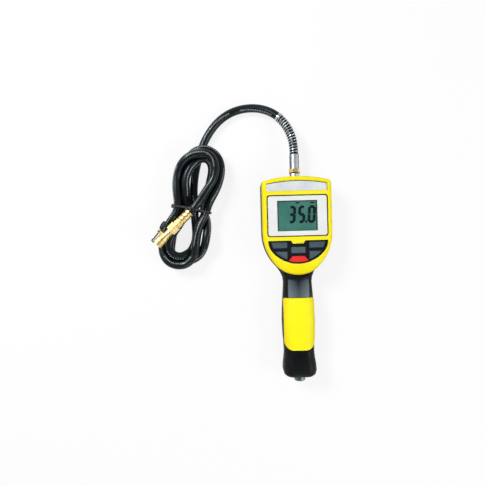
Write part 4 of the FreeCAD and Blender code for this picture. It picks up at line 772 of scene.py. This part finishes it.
def coil_recipe():
    """Round wire wound about a path."""
    recipe = Recipe("coil about a path", Path="Object", Start="Float", Length="Float", Turns="Float",
                    Steps="Int", Radius="Float", Wire="Float")
    total = recipe.count("ADD", recipe.count("MULTIPLY", recipe.size("Turns"), recipe.size("Steps")), 1.0)
    row, share, spot = recipe.stations(total, recipe.size("Start"), recipe.size("Length"))
    turn = recipe.count("MULTIPLY", recipe.count("MULTIPLY", share, recipe.size("Turns")), 2 * math.pi)
    up = recipe.vector("CROSS_PRODUCT", spot["Tangent"], spot["Normal"])
    out = recipe.count("MULTIPLY", recipe.count("COSINE", turn), recipe.size("Radius"))
    lift = recipe.count("MULTIPLY", recipe.count("SINE", turn), recipe.size("Radius"))
    sideways = recipe.vector("SCALE", spot["Normal"], out)
    away = recipe.vector("ADD", sideways, recipe.vector("SCALE", up, lift))
    placed = recipe.add("GeometryNodeSetPosition", {
        "Geometry": row, "Position": recipe.vector("ADD", spot["Position"], away)})
    wound = recipe.add("GeometryNodeCurveToMesh", {
        "Curve": placed.outputs["Geometry"], "Profile Curve": recipe.circle(8, "Wire"),
        "Fill Caps": True})
    return recipe.end(wound.outputs["Mesh"])


def ring_recipe():
    """Equal rings set square across a path."""
    recipe = Recipe("rings across a path", Path="Object", Start="Float", Length="Float", Count="Int",
                    Radius="Float", Wire="Float")
    row, share, spot = recipe.stations(recipe.size("Count"), recipe.size("Start"), recipe.size("Length"))
    placed = recipe.add("GeometryNodeSetPosition", {"Geometry": row, "Position": spot["Position"]})
    turn = recipe.add("FunctionNodeAlignRotationToVector", {"Vector": spot["Tangent"]}, axis="Z")
    ring = recipe.add("GeometryNodeCurveToMesh", {
        "Curve": recipe.circle(48, "Radius"), "Profile Curve": recipe.circle(6, "Wire")})
    rings = recipe.add("GeometryNodeInstanceOnPoints", {
        "Points": placed.outputs["Geometry"], "Instance": ring.outputs["Mesh"],
        "Rotation": turn.outputs["Rotation"]})
    return recipe.end(rings.outputs["Instances"])


def screw_recipe():
    """Pan screws with a cross recess, which point up from the places of a mesh's points."""
    recipe = Recipe("screws with a cross recess", Seats="Object", Radius="Float", Height="Float",
                    Shank="Float", Length="Float")
    seats = recipe.shape_of("Seats")
    radius, height = recipe.size("Radius"), recipe.size("Height")
    head = recipe.add("GeometryNodeMeshCone", {
        "Vertices": 28, "Radius Top": radius, "Radius Bottom": recipe.count("MULTIPLY", radius, 0.82),
        "Depth": height})
    below = recipe.count("MULTIPLY", height, -1.0)
    drop = recipe.add("ShaderNodeCombineXYZ", {"Z": below}).outputs["Vector"]
    head = recipe.add("GeometryNodeTransform", {"Geometry": head.outputs["Mesh"], "Translation": drop})
    slots = recipe.add("GeometryNodeJoinGeometry")
    for wide, deep in ((1.15, 0.24), (0.24, 1.15)):
        box = recipe.add("ShaderNodeCombineXYZ", {
            "X": recipe.count("MULTIPLY", radius, wide), "Y": recipe.count("MULTIPLY", radius, deep),
            "Z": recipe.count("MULTIPLY", height, 1.2)})
        cube = recipe.add("GeometryNodeMeshCube", {"Size": box.outputs["Vector"]})
        bar = recipe.add("GeometryNodeTransform", {"Geometry": cube.outputs["Mesh"], "Translation": drop})
        recipe.tree.links.new(bar.outputs["Geometry"], slots.inputs["Geometry"])
    cut = recipe.add(
        "GeometryNodeMeshBoolean", {"Mesh 1": head.outputs["Geometry"]}, operation="DIFFERENCE")
    recipe.tree.links.new(slots.outputs["Geometry"], cut.inputs["Mesh 2"])
    shank = recipe.add("GeometryNodeMeshCylinder", {
        "Vertices": 20, "Radius": recipe.size("Shank"), "Depth": recipe.size("Length")})
    lift = recipe.add("ShaderNodeCombineXYZ", {"Z": recipe.count("MULTIPLY", recipe.size("Length"), 0.5)})
    shank = recipe.add("GeometryNodeTransform", {
        "Geometry": shank.outputs["Mesh"], "Translation": lift.outputs["Vector"]})
    screw = recipe.add("GeometryNodeJoinGeometry")
    for part in (cut.outputs["Mesh"], shank.outputs["Geometry"]):
        recipe.tree.links.new(part, screw.inputs["Geometry"])
    screws = recipe.add("GeometryNodeInstanceOnPoints", {
        "Points": seats, "Instance": screw.outputs["Geometry"]})
    return recipe.end(screws.outputs["Instances"])


COIL = coil_recipe()
RINGS = ring_recipe()
SCREWS = screw_recipe()


def seats_at(name, places):
    """Loose points at the places, in millimetres, for screws to be set on."""
    mesh = bpy.data.meshes.new(name)
    mesh.from_pydata([point(*place) for place in places], [], [])
    seats = bpy.data.objects.new(name, mesh)
    bpy.context.scene.collection.objects.link(seats)
    return seats


def screws(name, node, places, **sizes):
    """Screws with cross recesses in place of a CAD node's plain ones."""
    seats = seats_at(name + "_seats", places)
    made = SCREWS.make(name, PLATED, Seats=seats, **sizes)
    bpy.data.objects.remove(seats)
    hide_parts(node)


def visible_screws():
    """The housing's six screws and the battery door's one, all seen from the back."""
    pairs = ((40.0, 126.0), (38.5, 52.0), (14.0, -138.0))
    housing = [(side * x, y, 12.0) for x, y in pairs for side in (1, -1)]
    screws("case_screws", "housing_screws", housing,
           Radius=0.0029, Height=0.0024, Shank=0.00125, Length=0.019)
    screws("lid_screw", "door_screw", [(0.0, -128.5, 1.9)],
           Radius=0.0023, Height=0.0012, Shank=0.00125, Length=0.008)


def inlet_thread():
    """Thread inside the mouth of the inlet."""
    path = straight_path("inlet_axis", point(0, -152.6, 22), point(0, -142.6, 22))
    thread = RINGS.make("inlet_thread", DARK_STEEL, Path=path, Start=0.0, Length=0.0100, Count=10,
                        Radius=0.0056, Wire=0.00028)
    bpy.data.objects.remove(path)


def collar_seal():
    """Black ring squeezed between the collar and the hose adapter."""
    path = straight_path("collar_axis", point(0, 146.9, 22), point(0, 148.0, 22))
    seal = RINGS.make("collar_seal", GASKET, Path=path, Start=0.0, Length=0.0, Count=1,
                      Radius=0.0073, Wire=0.0005)
    bpy.data.objects.remove(path)


def clip_coil():
    """Small spring round the clip's pin."""
    low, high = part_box("clip_spring")
    x, y = (low[0] + high[0]) / 2, (low[1] + high[1]) / 2
    inset = 0.0003
    path = straight_path("pin_axis", (x, y, low[2]), (x, y, high[2]))
    coil = COIL.make("clip_coil", BRIGHT, Path=path, Start=inset, Length=high[2] - low[2] - 2 * inset,
                     Turns=4.0, Steps=16, Radius=0.0016, Wire=0.00022)
    bpy.data.objects.remove(path)
    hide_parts("clip_spring")
    return coil


GUARD_TURNS = 15.0
GUARD_LENGTH = 0.060
GUARD_WIRE = 0.0011


def guard_coil(path):
    """Open spring over the start of the hose."""
    coil = COIL.make("spring_coil", BRIGHT, Path=path, Start=0.0006, Length=GUARD_LENGTH,
                     Turns=GUARD_TURNS, Steps=20, Radius=HOSE / 2 + GUARD_WIRE / 2, Wire=GUARD_WIRE / 2)
    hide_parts("spring_guard")
    return coil


# Tie

TIE_MIDDLE = point(-151.1, 98.9, 0)
TIE_AXIS = Vector((0.22, 0.975, 0)).normalized()
TIE_BLOCK = (0.0040, 0.0056, 0.0066)
TIE_TAIL = (0.0014, 0.0030, 0.0044)
TIE_TAIL_RISE = 0.0050
TIE_OVERHANG = 0.0014
TIE_EDGE = 0.0004


def tie_head():
    """Ratchet block at the left end of the strap, with the trimmed tail in it."""
    across = Vector((TIE_AXIS.y, -TIE_AXIS.x, 0))
    mesh = nodes["hank_tie"].data
    reach = [(v.co - TIE_MIDDLE).dot(across) for v in mesh.vertices]
    left = min(reach)
    heights = [v.co.z for v, u in zip(mesh.vertices, reach) if u < left + TIE_EDGE]
    level = (min(heights) + max(heights)) / 2
    bm = bmesh.new()
    for (wide, long, high), rise in ((TIE_BLOCK, 0.0), (TIE_TAIL, TIE_TAIL_RISE)):
        made = bmesh.ops.create_cube(bm, size=1.0)["verts"]
        middle = TIE_MIDDLE + across * (left - TIE_OVERHANG) + Vector((0, 0, level + rise))
        for v in made:
            x, y, z = v.co
            flat = across * (x * wide) + TIE_AXIS * (y * long)
            v.co = middle + flat + Vector((0, 0, z * high))
    head = piece_from("tie_head", bm, STRAP, angle=30.0)
    rounded(head, 0.0007, segments=3)
    return head


def make_hose():
    """The hose with all that it carries: its guard, sleeve and tie, and the chuck with its clip."""
    path = hose_path()
    line = line_of(path)
    runs = run_lengths(line)
    hose = tube_along("air_hose", line, runs, HOSE / 2, HOSE_SIDES, HOSE_RUBBER)
    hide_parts("hose_lead", "hose_hank")
    coil = guard_coil(path)
    bpy.data.objects.remove(path)
    ring = refined("guard_ring", ALLOY, 40.0)
    sleeve = refined("hose_ferrule", SLEEVE, 35.0, bevel=0.0003)
    tie = refined("hank_tie", STRAP, 40.0, bevel=0.0003)
    ends = [refined(name, BRASS, 30.0, bevel=0.00025)
            for name in ("end_ferrule", "chuck_nut", "chuck_body")]
    clip = [refined(name, CLIP_STEEL, 35.0, bevel=0.0002)
            for name in ("clip_jaw", "clip_lever", "clip_pin")]
    on_it = [coil, ring, sleeve, tie, tie_head(), clip_coil(), "chuck_seal", "chuck_depressor"]
    on_it += ends + clip


# Display

CORNERS = ((1, 1), (-1, 1), (-1, -1), (1, -1))
CORNER_STEPS = 6
SEAL_LEVELS = (0.0428, 0.0438)
PANE_PLAY = 0.0001
PANE_EASE = 0.0003
SEGMENT_PLACES = {
    "a": ((-1, 1), (1, 1)), "b": ((1, 1), (1, 0)), "c": ((1, 0), (1, -1)), "d": ((-1, -1), (1, -1)),
    "e": ((-1, 0), (-1, -1)), "f": ((-1, 1), (-1, 0)), "g": ((-1, 0), (1, 0)),
}
DIGIT_SEGMENTS = {"3": "abcdg", "5": "afgcd", "0": "abcdef"}
DIGIT_HALF_HEIGHT = 0.0104
DIGIT_STROKE = 0.0040
DIGIT_LEAN = 0.07
STROKE_GAP = -0.0002
TIP_SHARE = 0.3
FILM_DEPTH = 0.00004


def flat_bar(bm, start, end, width, pointed=True):
    """Flat bar a hair thick on the display's film, with pointed ends or square ones."""
    along = (end - start).normalized()
    side = Vector((-along.y, along.x)) * (width / 2)
    tip = along * (width * TIP_SHARE if pointed else 0)
    a, b = start + tip, end - tip
    outline = [a - side, b - side, b + side, a + side]
    if pointed:
        outline = [a - side, b - side, b + tip, b + side, a + side, a - tip]
    low = [bm.verts.new((p.x, p.y, LCD_LEVEL)) for p in outline]
    high = [bm.verts.new((p.x, p.y, LCD_LEVEL + FILM_DEPTH)) for p in outline]
    bm.faces.new(low[::-1])
    bm.faces.new(high)
    bridge(bm, low, high)


def level_mark(bm, left, right, y, width):
    """Plain level bar on the display."""
    flat_bar(bm, Vector((left, y)), Vector((right, y)), width, pointed=False)


def display_digits():
    """Three plain digits and a point that lean a little, with two small marks above them."""
    bm = bmesh.new()
    middle_y = WINDOW[1] + 0.0017
    for digit, x, half_width in (("3", -0.0072, 0.0031), ("5", 0.0062, 0.0031), ("0", 0.0203, 0.0036)):
        for name in DIGIT_SEGMENTS[digit]:
            start, end = (Vector((x + side * half_width, middle_y + rise * DIGIT_HALF_HEIGHT))
                          for side, rise in SEGMENT_PLACES[name])
            along = (end - start).normalized()
            flat_bar(bm, start + along * STROKE_GAP, end - along * STROKE_GAP, DIGIT_STROKE)
    level_mark(bm, 0.0116, 0.0144, middle_y - DIGIT_HALF_HEIGHT, 0.0030)
    for v in bm.verts:
        v.co.x += (v.co.y - middle_y) * DIGIT_LEAN
    for left, right in ((-0.0018, 0.0036), (0.0186, 0.0246)):
        level_mark(bm, left, right, WINDOW[1] + 0.0180, 0.0018)
    digits = piece_from("display_digits", bm, SEGMENTS, smooth=False)


def rounded_box(half_width, half_height, corner):
    """Points round a box with round corners, in the plane of the display."""
    spots = []
    for quarter, (sx, sy) in enumerate(CORNERS):
        for i in range(CORNER_STEPS + 1):
            a = math.pi / 2 * (quarter + i / CORNER_STEPS)
            spots.append((WINDOW[0] + sx * (half_width - corner) + corner * math.cos(a),
                          WINDOW[1] + sy * (half_height - corner) + corner * math.sin(a)))
    return spots


def display_gasket():
    """Thin black ring over the gap between the bezel and the display's surround: the dark gap itself, and
    past it painted shadow on the surround's margin.
    """
    bm = bmesh.new()
    # The ring is wider than the gap: its inner part is painted shadow on the surround's margin.
    outer = rounded_box(half_width=0.04294, half_height=0.02944, corner=0.0044)
    inner = rounded_box(half_width=0.04160, half_height=0.02810, corner=0.0032)
    low, high = SEAL_LEVELS
    loops = [[bm.verts.new((x, y, z)) for x, y in spots]
             for spots, z in ((outer, low), (outer, high), (inner, high), (inner, low))]
    for ring, after in zip(loops, loops[1:] + loops[:1]):
        bridge(bm, ring, after)
    seal = piece_from("display_gasket", bm, GASKET, angle=30.0)
    rounded(seal, 0.0002)


def window_pane():
    """Clear pane over the display, with its upper edge eased."""
    bm = bmesh.new()
    top = 0.0430
    loops = []
    for inset, z in ((0.0, LCD_LEVEL + 0.00015), (0.0, top - PANE_EASE), (PANE_EASE, top)):
        x, y = (side / 2 - PANE_PLAY - inset for side in WINDOW_SIZE)
        loops.append([bm.verts.new((WINDOW[0] + sx * x, WINDOW[1] + sy * y, z)) for sx, sy in CORNERS])
    for ring, after in zip(loops, loops[1:]):
        bridge(bm, ring, after)
    bm.faces.new(loops[0][::-1])
    bm.faces.new(loops[-1])
    pane = piece_from("window_pane", bm, WINDOW_CLEAR, smooth=False)
    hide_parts("lcd_lens")


# Neck, with the depth of the rear cover's skin at four heights

NECK_SKIN = ((-0.5, 3.46), (-1.5, 3.75), (-3.0, 4.18), (-8.4, 4.65))
NECK_SKIN_SIDE = 13.0
NECK_SKIN_SLOPE = 2 / 3
BLANK_SIDES = (13.3, 16.3)
BLANK_SINK = 0.12
BLANK_THICK = 0.0008


def neck_blanks():
    """Two thin plates that close the slots at the root of the neck, level with the rear cover."""
    bm = bmesh.new()
    for side in (1, -1):
        rows = []
        for y, skin in NECK_SKIN:
            outer = []
            for x in BLANK_SIDES:
                depth = skin + (x - NECK_SKIN_SIDE) * NECK_SKIN_SLOPE + BLANK_SINK
                outer.append(bm.verts.new(point(side * x, y, depth)))
            inner = [bm.verts.new(v.co + Vector((0, 0, BLANK_THICK))) for v in outer]
            rows.append(outer + inner[::-1])
        for row, after in zip(rows, rows[1:]):
            bridge(bm, row, after)
        bm.faces.new(rows[0][::-1])
        bm.faces.new(rows[-1])
    blanks = piece_from("neck_blanks", bm, BLACK, smooth=False)


# Floor and light

FLOOR_SIDE = 40.0
WALL_RADIUS = 19.5
WALL_HEIGHT = 9.0
WALL_MIDDLE = 4.4
PALE = (0.90, 0.90, 0.90, 1)
WHITE = (1, 1, 1, 1)
SEEN_GLOW = 0.84
SKY_STRENGTH = 0.30


def place_stage():
    """Pale floor and round wall, nearly white where the camera, a shine or clear parts show them."""
    bpy.ops.mesh.primitive_plane_add(size=FLOOR_SIDE, location=(0, 0, -0.0002))
    floor = bpy.context.object
    floor.name = "floor"
    bpy.ops.mesh.primitive_cylinder_add(vertices=96, radius=WALL_RADIUS, depth=WALL_HEIGHT,
                                        end_fill_type="NOTHING", location=(0, 0, WALL_MIDDLE))
    backdrop = bpy.context.object
    backdrop.name = "backdrop"
    material = bpy.data.materials.new("pale floor")
    material.use_nodes = True
    tree = material.node_tree
    tree.nodes.clear()
    out = tree.nodes.new("ShaderNodeOutputMaterial")
    path = tree.nodes.new("ShaderNodeLightPath")
    diffuse = tree.nodes.new("ShaderNodeBsdfDiffuse")
    diffuse.inputs["Color"].default_value = PALE
    glow = tree.nodes.new("ShaderNodeEmission")
    glow.inputs["Color"].default_value = WHITE
    glow.inputs["Strength"].default_value = 1.0
    seen = path.outputs["Is Camera Ray"]
    for ray in ("Is Glossy Ray", "Is Transmission Ray"):
        either = tree.nodes.new("ShaderNodeMath")
        either.operation = "MAXIMUM"
        tree.links.new(seen, either.inputs[0])
        tree.links.new(path.outputs[ray], either.inputs[1])
        seen = either.outputs[0]
    share = tree.nodes.new("ShaderNodeMath")
    share.operation = "MULTIPLY"
    share.inputs[1].default_value = SEEN_GLOW
    tree.links.new(seen, share.inputs[0])
    mix = tree.nodes.new("ShaderNodeMixShader")
    tree.links.new(share.outputs[0], mix.inputs["Fac"])
    tree.links.new(diffuse.outputs[0], mix.inputs[1])
    tree.links.new(glow.outputs[0], mix.inputs[2])
    tree.links.new(mix.outputs[0], out.inputs["Surface"])
    for piece in (floor, backdrop):
        piece.data.materials.append(material)


def lamp(name, place, target, side, watts):
    """Square lamp that faces its target."""
    data = bpy.data.lights.new(name, "AREA")
    data.shape = "RECTANGLE"
    data.size = data.size_y = side
    data.energy = watts
    made = bpy.data.objects.new(name, data)
    bpy.context.scene.collection.objects.link(made)
    turn = (Vector(place) - Vector(target)).to_track_quat("Z", "Y").to_matrix().to_4x4()
    made.matrix_world = Matrix.Translation(Vector(place)) @ turn


def place_light():
    """Even white sky and three lamps, the strongest at the upper left."""
    world = bpy.data.worlds.new("studio")
    bpy.context.scene.world = world
    world.use_nodes = True
    sky = world.node_tree.nodes["Background"]
    sky.inputs["Color"].default_value = WHITE
    sky.inputs["Strength"].default_value = SKY_STRENGTH
    lamp("key_lamp", place=(-0.95, 0.80, 1.15), target=(0.0, 0.05, 0.0), side=0.45, watts=20.0)
    lamp("fill_lamp", place=(1.15, -0.35, 0.95), target=(0.0, 0.0, 0.0), side=0.6, watts=8.0)
    lamp("low_lamp", place=(0.15, -1.20, 0.90), target=(0.0, 0.0, 0.0), side=0.6, watts=4.0)


# Assembly

place_camera()
place_stage()
place_light()
bpy.context.scene.view_settings.view_transform = "Standard"

for name in ("front_cover", "rear_cover", "battery_door"):
    refined(name, BLACK, 33.0, bevel=0.0004)
refined("bezel", YELLOW, 33.0)
refined("grip_pad", GRIP, 33.0, bevel=0.0006, segments=3)
refined("label_strip", LABEL, 30.0)
refined("display_panel", PANEL_WHITE, 30.0, bevel=0.0002)
refined("keypad_panel", KEYPAD, 30.0, bevel=0.00015)
for name in ("key_upper_right", "key_upper_left", "key_lower_right", "key_lower_left", "key_centre"):
    refined(name, KEYS, 30.0, bevel=0.00012)
refined("key_red", RED, 30.0, bevel=0.00012)
refined("inlet_fitting", DARK_STEEL, 35.0, bevel=0.0002)
refined("outlet_collar", COLLAR, 35.0, bevel=0.0003)
refined("hose_adapter", BRASS, 35.0, bevel=0.0003)
dress(["lcd_module"], FILM)
dress(["circuit_board"], BOARD)
dress(["keypad_mat", "chuck_seal"], SOFT)
dress(["pressure_sensor", "inflate_solenoid", "deflate_solenoid", "batteries"], DARK_PART)
dress(["valve_block"], ALLOY)
dress(["exhaust_silencer", "chuck_depressor"], BRASS)
dress(["air_tube", "outlet_tube"], BLUE_TUBE)
dress(["board_screws", "battery_contacts", "inflate_plunger", "deflate_plunger",
       "plunger_springs"], PLATED)
display_digits()
display_gasket()
window_pane()
neck_blanks()
visible_screws()
inlet_thread()
collar_seal()
make_hose()
